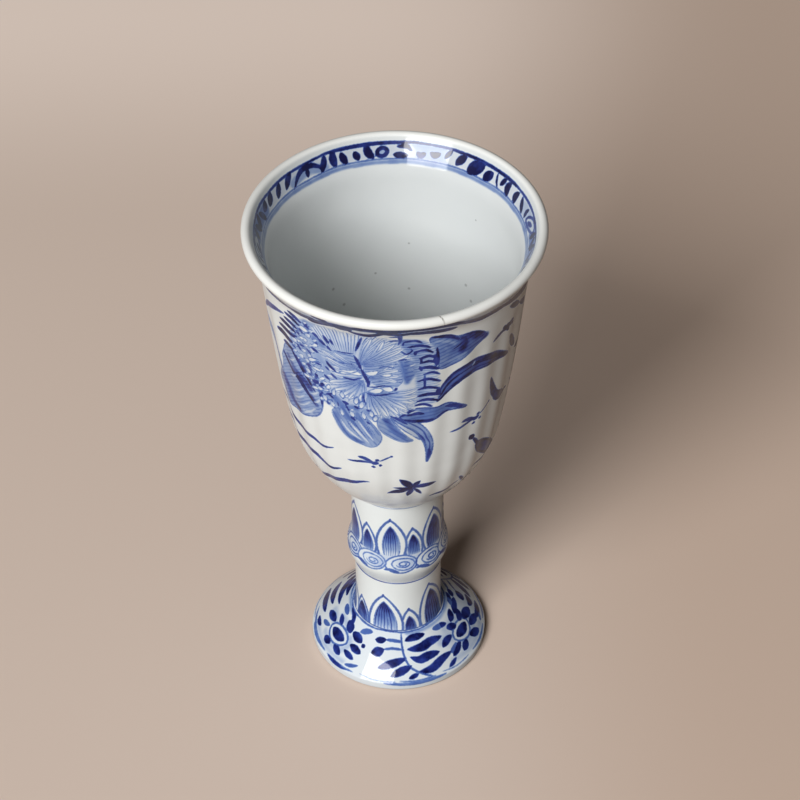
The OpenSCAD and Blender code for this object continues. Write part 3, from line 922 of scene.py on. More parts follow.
# A mass of small pale petals fills the left of the peony. They stand in staggered rows between its two
# edges, each moved a little. Nearly half of them have a dark touch under them, turned this way or that.
mass_rows = np.linspace(59.0, 85.0, 12)
mass_left = np.interp(mass_rows, [57, 61, 66, 72, 80, 86], [-20, -23.5, -27, -29.5, -27.6, -23])
mass_right = np.interp(mass_rows, [57, 62, 68, 72, 78, 82, 86], [-18, -18.5, -18, -19, -20.5, -17.5, -18.5])
for row, (mass_y, left_x, right_x) in enumerate(zip(mass_rows, mass_left, mass_right)):
    for petal_x in np.arange(left_x + 0.6 * (row % 2) + 0.6, right_x, 2.0):
        petal_y = mass_y + 0.7 * np.sin(3.7 * petal_x + row)
        petal_spine = [[petal_x - 0.9, petal_y - 0.6], [petal_x, petal_y], [petal_x + 0.9, petal_y + 0.5]]
        petal_width = 1.5 + 0.4 * np.sin(4.1 * row + petal_x)
        bowl_paint.petal(petal_spine, petal_width, (0.3, 0.0), outline=0.35, tone=0.6, blunt=0.6)
        if np.sin(7.1 * petal_x + 2.7 * row) > 0.1:
            touch_turn = -25 - 55 * np.sin(2.3 * row + 1.9 * petal_x)
            touch_length = 2.2 + 0.5 * np.sin(5.3 * petal_x)
            bowl_paint.dab(petal_x + 0.6, petal_y - 1.1, touch_length, 0.9, touch_turn, tone=0.78)

# A broad leaf with two lobes hangs at the left, hatched across, with two dark midribs, and a narrow one
# beside it.
bowl_paint.petal([[-46, 73], [-42, 67.5], [-39.2, 62.9], [-37.6, 58], [-36.4, 54.6]], 3.0, (0.3, 0.5),
                 outline=0.4, tone=0.6)
broad_leaf = [
    [-31.5, 71], [-29.1, 70.8], [-27.2, 67.7], [-25.4, 64.4], [-22.9, 61.4], [-20.6, 60], [-20.1, 57.5],
    [-20.9, 53.1], [-22.6, 50], [-24.9, 47.9], [-27.6, 46.4], [-30.6, 45.4], [-34, 44.6], [-36.7, 44.2],
    [-40, 46], [-42, 50], [-39, 55], [-36, 58.4], [-35.4, 61], [-35.2, 63.5], [-34, 66.5], [-33, 69],
]
bowl_paint.patch(broad_leaf, wash=(0.36, 0.28), way=39, pitch=0.95, lines_share=0.12, rim=0.5, tone=0.6)
bowl_paint.tints([
    ([[-29.4, 62.6], [-26.8, 61.2], [-24.4, 59.4]], 2.6, 0.72), ([[-31.6, 66], [-30, 64]], 1.8, 0.62),
    ([[-36.6, 55], [-34.8, 51], [-33.9, 47.8], [-31, 46.6]], 2.4, 0.72),
    ([[-24.4, 56], [-22.8, 54.4]], 2.0, 0.72), ([[-39, 53], [-38, 49], [-36.4, 46]], 2.2, 0.5),
    ([[-28.2, 47.6], [-25.4, 49]], 1.2, 0.12),
], soft=0.6)
bowl_paint.strokes([
    ([[-34.2, 66.4], [-33, 64], [-30.8, 61.9], [-28, 60.2], [-25.7, 56.8], [-22.7, 53.5]], 2.0),
    ([[-29.8, 71.2], [-27.4, 67.7], [-25.7, 64.4], [-23.2, 60.5], [-21.8, 58.8]], 1.7),
    ([[-35.6, 54], [-34.4, 50], [-33.4, 47.6], [-31, 46.8]], 1.0),
    ([[-32.6, 47.4], [-31, 46.8], [-30, 47]], 1.5), ([[-28.8, 61], [-27, 61], [-25.2, 60.4]], 1.1),
    ([[-21, 59.4], [-20.4, 57], [-20.6, 54.6]], 0.9),
], tone=0.92)
white_rungs = [([-31.5, 65], [-28.4, 67.6]), ([-32.2, 58.6], [-29, 61.2]), ([-31.9, 53.3], [-26.9, 57.4]),
               ([-32.4, 50.2], [-26.8, 54.8]), ([-30.2, 48.8], [-25.2, 53.2]), ([-24.6, 57], [-21, 60.2]),
               ([-23.6, 54.4], [-20.9, 57.2]), ([-27.4, 48], [-23.4, 52])]
for rung_start, rung_end in white_rungs:
    middle = (np.array(rung_start) + rung_end) / 2 + [0.2, -0.25]
    bowl_paint.petal([rung_start, middle, rung_end], 0.6, (0.12, 0.12), outline=0, blunt=0.4)

# Petals that hang below the peony.
bowl_paint.patch([[-17.4, 55], [-16.6, 50.5], [-14.4, 47], [-11, 44.6], [-7.6, 43.7], [-5.2, 45],
                  [-4.1, 48.4], [-5.8, 52.6], [-9, 57], [-13, 58]], wash=(0.36, 0.28), way=-62, pitch=1.5,
                 lines_share=0.1, rim=0.45, tone=0.5)
bowl_paint.tints([
    ([[-16.6, 54], [-15.6, 50], [-13.4, 47], [-10, 45]], 1.7, 0.5),
    ([[-10.4, 56], [-8.6, 51.6], [-7, 48]], 1.6, 0.5),
    ([[-14, 57], [-12.6, 53.6], [-11.4, 51.4]], 1.4, 0.52),
], soft=0.6)
for streak in ([[-15.2, 52.6], [-13, 48.9], [-9.4, 45.4]], [[-12.8, 53.2], [-10.6, 49.2], [-7.6, 45.2]],
               [[-10.4, 54], [-8.4, 50.2], [-6.2, 46.6]]):
    bowl_paint.petal(streak, 0.7, (0.1, 0.04), outline=0, blunt=0.5)
bowl_paint.strokes([
    ([[-14, 54.5], [-12.2, 50.5], [-9.6, 46.6]], 0.5), ([[-11.8, 54], [-10, 50], [-7.6, 46.2]], 0.6),
    ([[-9, 54.5], [-7.4, 51], [-6, 47.5]], 0.45), ([[-8, 53.6], [-6.4, 50.4], [-5.4, 48.4]], 0.4),
], tone=0.66)
bowl_paint.patch([[-4.8, 56.6], [-4.7, 52.6], [-2.8, 49.2], [0.6, 47], [4.2, 46.6], [2.8, 48.6], [0.4, 52],
                  [-1.6, 55.8], [-3.2, 57.6]], wash=(0.28, 0.5), way=-40, pitch=1.3, lines_share=0.1,
                 rim=0.45, tone=0.5)
bowl_paint.tint([[-2.8, 55.5], [-0.8, 51.4], [1.8, 48.6]], 1.5, 0.6, soft=0.6)
bowl_paint.petal([[-2.4, 57.6], [1.2, 53.6], [4.2, 50], [6.4, 46.6]], 1.7, (0.1, 0.2), outline=0.4,
                 tone=0.55)
bowl_paint.petal([[-2.6, 58], [2.4, 54.6], [6, 51], [8.2, 46.6], [9, 42], [8.6, 37]], 2.9, (0.22, 0.5),
                 lines=2, lines_share=0.25, outline=0.5, tone=0.66, bias=0.75)
bowl_paint.strokes([
    ([[-2.8, 57.2], [-1.2, 57], [0.8, 55.6], [3, 53.6]], 1.1), ([[8.9, 43], [9, 40], [8.5, 36.8]], 1.2),
    ([[5.4, 50], [7.2, 47], [8.2, 43.6]], 0.6),
], tone=0.8)
bowl_paint.patch([[0.6, 58], [3.6, 59.4], [7, 59.4], [10.4, 58.9], [13.4, 59.2], [16.2, 57.8], [19.2, 55.2],
                  [16.4, 55.9], [13.2, 56.1], [10.6, 54.6], [8, 53.8], [4.6, 54.2], [1.6, 55.8]],
                 wash=(0.44, 0.54), way=5, pitch=1.3, lines_share=0.12, rim=0.6, tone=0.8)
bowl_paint.strokes([
    ([[1, 57], [3, 58.4], [5, 58.8]], 1.3), ([[2.4, 57.2], [5, 57.6], [7.4, 57]], 1.5),
    ([[1.4, 56], [4, 54.8], [7, 54.3], [10, 54.7]], 1.4), ([[12.6, 58.2], [15.2, 57.6], [18, 56]], 1.7),
    ([[10, 54.8], [12.4, 56], [14.6, 56.2]], 0.8),
], tone=0.9)
bowl_paint.white(4.6, 58.1, 3.0, 0.5, 8, outline=0)

# Dark leaves at the right.
bowl_paint.patch([[8, 86.6], [11.6, 86], [15, 84.3], [18.6, 83.8], [21.4, 81.9], [23.6, 79.6], [21, 78],
                  [18.4, 76], [15, 74.2], [11, 73.6], [10, 77], [8.6, 82]], wash=(0.4, 0.7), way=15,
                 pitch=1.35, lines_share=0.14, rim=0.5, tone=0.72)
bowl_paint.tints([
    ([[16.2, 83], [17, 80.5], [16.2, 78.6]], 2.2, 0.84),
    ([[18.4, 82.6], [20.6, 81], [22.8, 79.8]], 2.0, 0.84),
    ([[18.4, 79.6], [19.6, 79.2], [21, 79.4]], 1.4, 0.55), ([[9.6, 84.6], [12, 83.6], [14, 82]], 1.0, 0.24),
    ([[11.4, 76], [14, 75.4], [17, 76.4]], 1.2, 0.34),
], soft=0.6)
bowl_paint.strokes([
    ([[7.9, 86.6], [11, 86], [13.6, 84.6], [15.6, 82.4]], 1.5),
    ([[15.2, 84.2], [16.8, 82], [17, 80], [15.8, 78]], 1.4),
    ([[15.4, 84.2], [19, 83.4], [22, 81.4], [23.6, 79.6]], 1.1),
    ([[16.4, 82], [15.2, 80.6], [13.4, 79.6]], 0.7), ([[9.6, 82.6], [9.9, 79], [10.2, 75]], 1.2),
])
bowl_paint.petal([[10.4, 61.4], [12.6, 65.4], [16.2, 68.8], [20.6, 69.8], [25.1, 69], [28.6, 67.6],
                  [34, 64.6]], 4.6, (0.55, 0.9), lines=3, lines_share=0.2, outline=0.8, tone=0.95, bias=0.8,
                 blunt=0.85)
bowl_paint.strokes([
    ([[19.6, 70.8], [23, 70.4], [27.4, 68.6], [33.4, 65]], 1.7),
    ([[13, 64.6], [17, 67.4], [22, 68.4]], 0.8), ([[11, 62.6], [13, 66.4], [16.4, 69.6]], 1.0),
], tone=1.0)
bowl_paint.white(20.1, 70.9, 1.6, 0.5, 60, outline=0)

# Fans of fine brush lines that make up the peony's petals.
bowl_paint.fan([-11.5, 71], [[-21, 85], [-18, 87.2], [-13.5, 88], [-8, 87.8]], 14, (0.34, 0.1), 0.26,
               start=0.4)
bowl_paint.fan([-9.6, 75], [[-7, 88.2], [-2.5, 87.8], [1, 85.6], [3.4, 82.4], [4.6, 79.4]], 17,
               (0.32, 0.12), 0.26, bend=0.2)
bowl_paint.fan([-7.6, 69.8], [[-18.6, 68.4], [-17.4, 65], [-14.8, 62.4], [-11.6, 61], [-8.6, 60.2]], 13,
               (0.4, 0.12), 0.22)
bowl_paint.fan([-7.8, 67.5], [[-5, 56], [-1.4, 56.6], [1.6, 58], [4.6, 60.2]], 12, (0.44, 0.12), 0.22)
bowl_paint.fan([-6.5, 66.2], [[4.6, 60.4], [6, 62.6], [6.4, 65.6], [5.8, 68.2]], 10, (0.42, 0.1), 0.22)

# Flat patches in the middle of the peony, under its petals.
bowl_paint.patch([[-9.2, 76.2], [-10, 79.2], [-14, 79.2], [-18.4, 78.4], [-19.8, 76.2], [-17.6, 74],
                  [-14, 73.4], [-10, 74.4]], wash=(0.3, 0.2), way=178, pitch=1.2, lines_share=0.2, rim=0.3,
                 tone=0.36)
bowl_paint.patch([[-9, 74.2], [-12, 74.2], [-15.4, 73], [-17, 71], [-13.5, 69.4], [-10, 69.6], [-8.2, 71.4]],
                 wash=(0.26, 0.06), way=190, pitch=1.1, lines_share=0.3, rim=0, tone=0.4)
bowl_paint.patch([[-7.8, 75.2], [-6.2, 77.4], [-3, 78.4], [0, 78], [1.3, 75], [1.6, 71.4], [0, 68.8],
                  [-4, 68.8], [-6.4, 70.6]], wash=(0.3, 0.24), way=12, pitch=1.0, lines_share=0.24, rim=0.35,
                 tone=0.5)
bowl_paint.patch([[2, 78.6], [4.6, 78], [5.4, 75.4], [4.6, 72.6], [2.8, 70.4], [2, 74]], wash=(0.5, 0.34),
                 way=10, pitch=1.4, lines_share=0.15, rim=0, soft=0.5)

# Long narrow petals on the fans and patches: root, then the tip and width of each. They are blue at the root
# and white at the tip.
long_petals = [
    ([-8, 70.2], [([-18.4, 68.2], 1.8), ([-17.6, 65.7], 2.0), ([-16.4, 63.2], 2.1), ([-14.4, 61.6], 2.3),
                  ([-12.3, 61.6], 1.7), ([-10.4, 60.3], 2.2), ([-8.3, 60.9], 1.7)]),
    ([-6.8, 66.2], [([-6.4, 57.4], 1.8), ([-4.4, 56.2], 2.0), ([-2, 56.4], 2.1), ([0.6, 57.8], 2.3),
                    ([3, 59.6], 2.3), ([5, 61.8], 2.2), ([5.9, 64.4], 2.0), ([5.6, 66.8], 1.7)]),
    ([-8.8, 76], [([-5.4, 87.4], 1.5), ([-2.6, 86.8], 1.6), ([0, 85.4], 1.6), ([2, 83.4], 1.6),
                  ([3.4, 81.2], 1.5)]),
    ([-8.4, 73.6], [([-18.8, 77.6], 1.5), ([-18, 75.4], 1.6), ([-15.6, 78.6], 1.4), ([-16.4, 72.8], 1.5)]),
    ([-7, 71.6], [([-0.4, 77.2], 1.6), ([0.8, 75.2], 1.7), ([1, 72.8], 1.6), ([0.4, 70.4], 1.5)]),
]
for petal_root, tips in long_petals:
    for tip, width in tips:
        reach = np.array(tip) - petal_root
        beside = np.array([-reach[1], reach[0]])
        bent = np.array(petal_root) + 0.5 * reach + 0.07 * np.sin(3 * tip[0]) * beside
        bowl_paint.petal([petal_root, bent, tip], width, (0.5, 0.0), lines=2, lines_share=0.2, outline=0.3,
                         tone=0.5, bias=1.6, blunt=0.6)

# Dark strokes of the peony: its spine, the hooks and folds of its petals, and the touches among them.
bowl_paint.strokes([
    ([[-7.6, 87.4], [-8.5, 84.4], [-9.6, 80.8]], 0.95), ([[-10, 79.4], [-9, 76.6], [-8.4, 74]], 1.2),
    ([[-8.6, 74.8], [-7.5, 72], [-6.8, 69.8], [-7, 67.8]], 1.3),
    ([[-15, 79.4], [-12.4, 79.5], [-9.8, 80]], 0.6), ([[-17.8, 74], [-16.8, 72.4], [-14.8, 70.9]], 1.1),
    ([[-13.4, 70], [-10.6, 69.7], [-8.4, 71]], 0.8), ([[0.4, 78.6], [1.6, 79.2], [2.8, 79]], 0.7),
    ([[-8, 65.8], [-6, 65.2], [-3, 65.4], [0.4, 66.4]], 0.7),
    ([[-7.4, 68], [-5, 68.4], [-3.2, 68.9], [-0.6, 68.6]], 0.55), ([[0.2, 68.4], [-0.4, 67]], 0.9),
    ([[-8.2, 66], [-8.2, 63], [-7.4, 60]], 0.6), ([[-16.6, 75.8], [-13, 75.4], [-9.4, 75.8]], 0.35),
], tone=0.86)
bowl_paint.strokes([([[-4.6, 75.4], [-2.6, 76.4], [0, 75.8]], 0.6)], tone=0.62)
bowl_paint.tint([[1.2, 78.4], [1.6, 76.2], [2.0, 73.4], [2.6, 70.4]], 1.2, 0.54, soft=0.7)
bowl_paint.strokes([
    ([[-20.6, 83], [-18.8, 81.8]], 1.2), ([[-19.2, 81.8], [-17.2, 79.8]], 1.3),
    ([[-17.6, 84], [-16.2, 81]], 1.2), ([[-17, 80.2], [-15.8, 78.6]], 1.1),
    ([[-15.8, 83.4], [-15, 81.2]], 0.9), ([[-23.2, 85], [-22.2, 83.4]], 0.9),
    ([[-21.4, 77.2], [-19.4, 75.6]], 1.0), ([[-23.6, 75.2], [-21.8, 73.8]], 1.0),
    ([[-26.6, 74.6], [-25.6, 72.2]], 0.9), ([[-24.2, 68.8], [-22.2, 67.4]], 1.2),
    ([[-20.8, 67], [-21.6, 64.6]], 1.1), ([[-18.8, 68.2], [-17.2, 66.6]], 1.0),
    ([[-16.8, 69.6], [-14.8, 68.2]], 1.1), ([[-18.2, 71.6], [-17, 70.2]], 0.9),
    ([[-27, 68.6], [-26, 66.2]], 0.9), ([[-25.6, 65.8], [-25.8, 62.6]], 0.9),
    ([[-22.8, 62], [-20.6, 61]], 0.8), ([[-20.4, 60.4], [-20.8, 57.4]], 1.0),
    ([[-18.2, 60.8], [-16.4, 59.8]], 0.9), ([[-14.2, 60.4], [-12.2, 59.6]], 1.2),
    ([[-11, 59.4], [-9.6, 58.4]], 1.0), ([[-7.8, 59], [-6.4, 58.2]], 1.1),
    ([[-12.2, 55], [-10.8, 53.4]], 1.0), ([[-8, 54.2], [-6.8, 53.2]], 0.8),
    ([[-6.2, 57.8], [-5.2, 56], [-6, 54.6]], 0.8),
], tone=0.8)
bowl_paint.strokes([
    ([[-22.8, 63.2], [-21.7, 63.7], [-20.7, 64.4]], 1.7), ([[-19.8, 63], [-19.4, 64.6]], 1.5),
    ([[-21.4, 67.2], [-20.8, 66]], 1.2), ([[-25.8, 65.2], [-25.2, 64]], 1.1),
    ([[-13.6, 60.2], [-12.6, 57.6], [-12, 55.2]], 0.7), ([[-15.6, 59.6], [-15.2, 57]], 0.6),
], tone=0.9)

# White stamens and petal ends: across, up, length, width and angle.
stamens = [
    (-11.2, 71.6, 6.0, 2.0, 10), (-11.6, 73.2, 5.0, 1.0, 12), (-5.8, 73.9, 3.6, 1.7, 25),
    (-2.4, 73, 3.0, 1.2, 8), (-5.0, 66.9, 3.8, 2.0, 14), (-2.2, 67.6, 3.2, 2.0, -12),
    (-23.3, 82.6, 3.0, 1.9, -8), (-24.8, 78.2, 2.0, 1.4, 30), (-20.2, 78, 2.2, 1.4, 40),
    (-21.6, 71.8, 3.2, 1.4, 30), (-20.7, 68.9, 2.8, 1.2, -10), (-19.6, 66.1, 2.8, 1.2, 40),
    (-24.7, 64, 2.6, 1.3, 10), (-22.2, 61, 2.8, 1.1, 20), (-18.2, 63.6, 2.8, 1.2, 60),
    (-8.7, 63, 3.8, 0.9, 85), (-20.2, 58.6, 2.6, 1.2, 60), (-17.2, 58.4, 1.8, 1.2, 90),
    (-26, 76.1, 1.8, 1.1, 60), (4.2, 76.8, 2.4, 0.9, 20), (3.6, 75.4, 1.6, 0.6, 15),
    (-11.4, 57.4, 1.8, 0.9, 80),
]
for stamen_x, stamen_y, length, width, angle in stamens:
    bowl_paint.white(stamen_x, stamen_y, length, width, angle)

# White drops along the bottom of the peony, from their thin to their full end.
drops = [
    ([-16.1, 64.1], [-16.6, 60.9]), ([-14, 64.3], [-13.8, 61.3]), ([-17.4, 58.9], [-16.8, 56.2]),
    ([-14.7, 57.4], [-14.3, 54.2]), ([-12.2, 57.6], [-11.2, 54.7]), ([-10, 63.3], [-10.5, 60]),
    ([-8.4, 62.3], [-9.3, 58.6]), ([-8.8, 58], [-8.3, 54.6]), ([-6.6, 59.2], [-6.3, 56.1]),
    ([-19.4, 60.4], [-19.1, 57.5]), ([-5.1, 57.3], [-5.7, 54.7]),
]
for drop_top, drop_end in drops:
    middle = (np.array(drop_top) + drop_end) / 2
    bowl_paint.petal([drop_top, middle, drop_end], 1.4, (0.3, 0.0), outline=0.36, tone=0.66, bias=1.3,
                     blunt=0.75)

# Combs of dark rungs at both sides of the peony, the right one with posts on a ground that pales outwards.
bowl_paint.patch([[1, 87], [6, 86], [9, 82.6], [9.6, 78], [10.2, 73], [11, 67], [10.2, 61.4], [7, 60.4],
                  [5.6, 62.8], [5, 68], [4.6, 74], [4, 79], [2, 82.6]], wash=(0.48, 0.08), pitch=0.9,
                 lines_share=0.16, rim=0, soft=0.8)
bowl_paint.strokes([
    ([[-28.2, 85.6], [-26, 85.3], [-23.8, 84.2]], 1.5), ([[-29.7, 83.9], [-27, 83.7], [-24.6, 82.7]], 1.5),
    ([[-30.4, 81.7], [-27.8, 81.5], [-25.6, 80.6]], 1.4),
    ([[-32.8, 79.2], [-30, 79.6], [-26.4, 78.8]], 1.6), ([[-33.8, 76.4], [-30.5, 76.9], [-27, 76.4]], 1.7),
    ([[-35.4, 73.5], [-31.8, 74], [-28.2, 73.6]], 2.2), ([[-33, 70.6], [-31, 71], [-28.5, 70.9]], 1.7),
], blunt=0.4)
bowl_paint.strokes([
    ([[1.5, 85.8], [4.2, 86.2], [6.2, 84.9]], 1.1), ([[2.4, 83.8], [5.6, 84], [8.4, 82.6]], 1.1),
    ([[1.1, 82.6], [2.4, 81.2], [3.7, 82.3], [3.1, 83.6]], 0.7), ([[4, 81.7], [6.8, 82], [9, 80.4]], 1.1),
    ([[5.2, 78.8], [7.8, 79.5], [9.8, 78.2]], 1.2), ([[5.5, 76.9], [7.8, 77.5], [9.9, 76.4]], 1.1),
    ([[5.2, 74.9], [8, 75.1], [10.6, 73.8]], 1.4), ([[6.4, 72.4], [8.8, 73], [10.8, 71.6]], 1.0),
    ([[5, 69.9], [8, 70.6], [11.2, 68.8]], 1.1), ([[5.1, 66.7], [8, 67.4], [11.2, 66.1]], 1.1),
    ([[5.1, 64.2], [8.5, 64.7], [11.8, 63.6]], 1.4), ([[5, 62.2], [8, 62.7], [10.8, 61.6]], 1.2),
    ([[4.4, 60.7], [7, 61], [9.3, 59.6]], 1.0), ([[9.2, 80], [9.4, 77.5], [9.8, 75]], 1.0),
    ([[6.9, 72.6], [7, 69.5], [7, 66.6]], 0.8), ([[4.3, 82], [4.6, 80.4]], 1.1),
    ([[10.4, 66.2], [10.8, 63.6]], 1.7), ([[1.7, 86], [1.6, 84.2]], 0.7), ([[5.9, 79], [6, 77]], 0.8),
    ([[5.6, 76], [6.2, 73.8]], 0.9),
], tone=0.88, blunt=0.4)
bowl_paint.strokes([
    ([[0.9, 93], [0.9, 89], [1, 86.4], [0.4, 84.6]], 1.2), ([[-1.6, 88.3], [0, 88.6], [1.6, 88.4]], 0.8),
    ([[-1.8, 86.2], [-0.4, 86.6], [1.2, 86.5]], 0.7),
], tone=0.72)

# Insects: a long tail, a wing, legs and feelers, about the middle of the body. Two share these marks, and a
# third at the upper right has its own.
insect = [
    ([[-6.7, -1], [-4, -0.7], [1.5, 0]], 0.9), ([[-3.3, 1.5], [-1.2, 1.1], [1.5, 0]], 1.4),
    ([[0.6, -0.4], [2.8, 0.3]], 1.4), ([[1.1, -1.3], [1.3, -2.2]], 1.2), ([[2.2, 0.8], [2.6, 1.9]], 1.1),
    ([[2.8, -0.7], [3.7, -0.9]], 1.1), ([[3, 0.9], [4.8, 2.0], [6.6, 3.2]], 0.5),
    ([[6.2, 2.9], [6.8, 3.3]], 0.8),
]
for insect_place in ((-8, 37), (21.5, 47.8)):
    bowl_paint.strokes(insect, tone=0.84, at=insect_place)
bowl_paint.strokes([
    ([[26, 74.8], [28, 75.5], [30.4, 76.1]], 1.3), ([[29.6, 76], [31.6, 76.3], [33.2, 76.2]], 2.2),
    ([[33, 75.6], [33.6, 76.5], [34.2, 77.2]], 2.4), ([[31.2, 76], [32.4, 74.4]], 1.2),
    ([[30.4, 76.4], [29.8, 77.7]], 1.2), ([[33.4, 76], [34.8, 75.2]], 1.1),
], tone=1.0)

# Dark sprig of pointed leaves below the peony.
sprig_root = np.array([4.9, 25])
sprig = [
    ([0.7, 30.2], 2.3), ([-1.4, 25.5], 1.1), ([-3.3, 22.2], 2.0), ([3.4, 20.4], 1.8), ([8.1, 20.6], 1.1),
    ([12.5, 26], 2.1), ([7.1, 28.4], 1.6),
]
for tip, width in sprig:
    middle = (sprig_root + tip) / 2 + [0, 0.3]
    bowl_paint.brush([sprig_root, middle, tip], width, 1.0, blunt=0.75)

# Wave lines at the left, stalks and buds at the right, and the sketchy lines under the lip.
bowl_paint.strokes([
    ([[-46, 44], [-40, 41.4], [-35, 38.6], [-30, 38], [-27, 37.8], [-24, 37], [-21, 37.8],
      [-19, 38.7]], 1.7),
    ([[-46, 36], [-40, 33], [-34, 31.2], [-28, 30.9], [-25.5, 29.6], [-22.5, 28.8], [-20, 29.2],
      [-17.5, 30.4]], 2.0),
    ([[-36, 19], [-29, 20], [-22, 22.8], [-18.5, 24], [-15, 25.4], [-11.5, 26.8], [-8.6, 27.6]], 2.0),
    ([[-44, 74], [-40, 78], [-35, 81], [-30, 83]], 1.9),
], tone=0.85, bias=0.8, blunt=0.6)
bowl_paint.patch([[25.6, 35.8], [29, 34.6], [33, 31.6], [37, 27.6], [41, 22.6], [36.5, 24], [31, 28],
                  [27, 32]], wash=(0.98, 0.6), way=-45, lines_share=0, rim=1.0, tone=1.0)
bowl_paint.strokes([
    ([[27.2, 60.8], [28.5, 56.3], [30, 52.8], [32.2, 50], [35, 48.8], [38, 48.4]], 2.4),
    ([[29.8, 52.4], [32.4, 50], [35.6, 48.6]], 3.4), ([[40, 50], [42.4, 45.6], [43, 41]], 1.4),
    ([[33.8, 71.2], [36, 67.4], [38.4, 63.4]], 2.5), ([[42.6, 64.4], [41, 62.6], [39, 62.2]], 2.3),
    ([[23.4, 39.6], [25, 37.2], [26.8, 34.6]], 1.2), ([[22.2, 41.2], [22.9, 40.2], [23.5, 39]], 2.0),
    ([[31, 84], [34, 82.2], [36.8, 80.2]], 2.0), ([[36.8, 80.4], [41, 77.4], [44.4, 74.9]], 2.1),
    ([[22, 23], [23.6, 21], [24.8, 18.6]], 1.0), ([[11.5, 17.2], [17, 17.8], [22.6, 20.2]], 1.4),
    ([[27.4, 23.6], [31.1, 24.1], [34.6, 25.4]], 1.1),
], tone=1.0, blunt=0.6)
bowl_paint.tint([[-50.3, 90], [-34, 90.4], [-20, 92.4], [0, 93], [16, 92.4], [34, 89], [50.3, 90]], 3.4,
                0.1, soft=1.0)
bowl_paint.strokes([
    ([[-50.3, 88.4], [-44, 86.2], [-38, 86.4], [-33.6, 87.6], [-28.5, 88.6], [-24, 89]], 2.6),
    ([[-27, 88.7], [-21, 89.8], [-18.4, 91.4]], 2.9),
    ([[-20.6, 88.1], [-16.5, 90.5], [-13.4, 91.8], [-8.4, 92.7]], 3.3),
    ([[-10.4, 92.4], [-6.1, 93.2], [-1, 93.6], [4, 93.4]], 3.4),
    ([[-18.2, 93.4], [-16.6, 93.9], [-14.8, 93.6]], 2.8),
    ([[-13.4, 90.2], [-11.7, 90.7], [-9.6, 90.8]], 2.6),
    ([[-10.4, 89.6], [-7.7, 88.7], [-5.2, 89.1], [-2.7, 91], [0.7, 92.4]], 1.9),
    ([[-4, 91.4], [0.9, 90.4], [5, 91.6]], 2.2), ([[3, 93.8], [9, 93.9], [12.1, 93], [15.7, 90.8]], 3.4),
    ([[13, 92.4], [19.7, 88.9], [23.8, 88.2], [28.8, 86.9]], 2.9),
    ([[26.8, 87.4], [35.4, 85], [41, 83.8], [45.6, 85.4], [50.3, 88.4]], 2.4),
    ([[2.6, 90.8], [7, 90.4], [9.7, 89.7], [13.8, 88.9]], 2.7),
], tone=1.0, blunt=0.3)
# A faint cobalt wash darkens the bottom of the bowl all round, next to the stem.
bowl_paint.tint([[-50.3, 0.8], [-25, 0.8], [0, 0.8], [25, 0.8], [50.3, 0.8]], 3.4, 0.13, soft=1.4)
bowl_paint.keep_on(bowl_outside)
bowl_glaze = cobalt_under_glaze("painted_bowl_glaze", (246, 248, 245), (240, 243, 241))
bowl_outside.data.materials.append(bowl_glaze)
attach(bowl_outside, "root")
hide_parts("bowl")

# Bowl, inside
# The smooth inner half of the bowl's wall, with the thick rounded lip. A narrow band of leaf dabs between
# two lines is painted inside the lip, and the rest is plain under the glaze, in a white a little bluer and
# darker than the outside's: the darkness is painted shade inside the bowl.
lip_line = arc(lip_centre, lip_round, -lip_flare, 180 - inner_flare, 24)
inside_wall_line = bowl_wall_line(bowl_wall, inner_flare, (0.23, 0.59), lip_line[-1])
inside_line = chain(lip_line, inside_wall_line[::-1], bowl_floor_line(bowl_wall, seat_z + bowl_floor)[::-1])
inside_length = walked(inside_line)[-1]
lip_length = walked(lip_line)[-1]
band_height = 9.0
band_end = lip_length + band_height
lip_row_count = 18
band_row_count = 34
wall_row_count = 60
inside_columns = 640
inside_places = np.concatenate([
    np.linspace(0, lip_length, lip_row_count, endpoint=False),
    np.linspace(lip_length, band_end, band_row_count, endpoint=False),
    np.linspace(band_end, inside_length, wall_row_count, endpoint=False),
])
inside_side = along(inside_line, inside_places)
inside_core = np.vstack([[[0, seat_z + bowl_floor]], middle_side])
inside_angles = np.linspace(0, 2 * np.pi, inside_columns, endpoint=False) - np.pi / 2
bowl_inside = turned("bowl_inside", inside_side, inside_core, inside_angles,
                     creases=[0, len(inside_side) + len(inside_core) - 1])
band_start = 0.4
inside_along = walked(inside_side) - lip_length - band_start
inside_reference = 35
inside_paint = Painting(inside_angles - np.pi, inside_side[:, 0], inside_along, inside_reference, repeats=2)

# The band: x is true at a radius of 35 mm and starts at the far side, and y runs down from just under the
# lip.
for start in np.arange(0, 110, 10.0):
    line = np.array([[start - 1, 0], [start + 5, 0.2 * np.sin(2.3 * start)], [start + 11, 0]])
    inside_paint.tint(line + [0, 6.5], 1.0, 0.38, soft=0.4)
    inside_paint.brush(line + [0, 1.2], 0.8, 0.85, blunt=0.2)
    inside_paint.brush(line + [0, 5.7], 0.6, 0.5, blunt=0.2)
inside_paint.tint([[-14.6, 3.4], [-10, 3.4], [-5.4, 3.4]], 4.2, 0.24, soft=0.5)
inside_paint.strokes([
    ([[-5, 1.2], [5, 1.3], [14, 1.2], [20, 1.0]], 1.15), ([[-40, 1.2], [-28, 1.3], [-14, 1.2]], 1.0),
], blunt=0.3)
inside_paint.tint([[-48, 3.4], [-16, 3.4]], 3.6, 0.06, soft=0.4)
inside_paint.tint([[-4, 3.4], [20, 3.4], [44, 3.4]], 3.6, 0.09, soft=0.4)
inside_paint.tint([[19.5, 4.6], [24.6, 3.4], [30, 4.4]], 2.6, 0.3, soft=0.5)
# Washes darken the band towards its two sides, more deeply on the side at +x.
for side_x, depth in ((-49.5, 0.16), (49.5, 0.5)):
    inside_paint.tint([[side_x - 5.4, 3.4], [side_x, 3.4], [side_x + 5.4, 3.4]], 3.6, depth, soft=0.6)
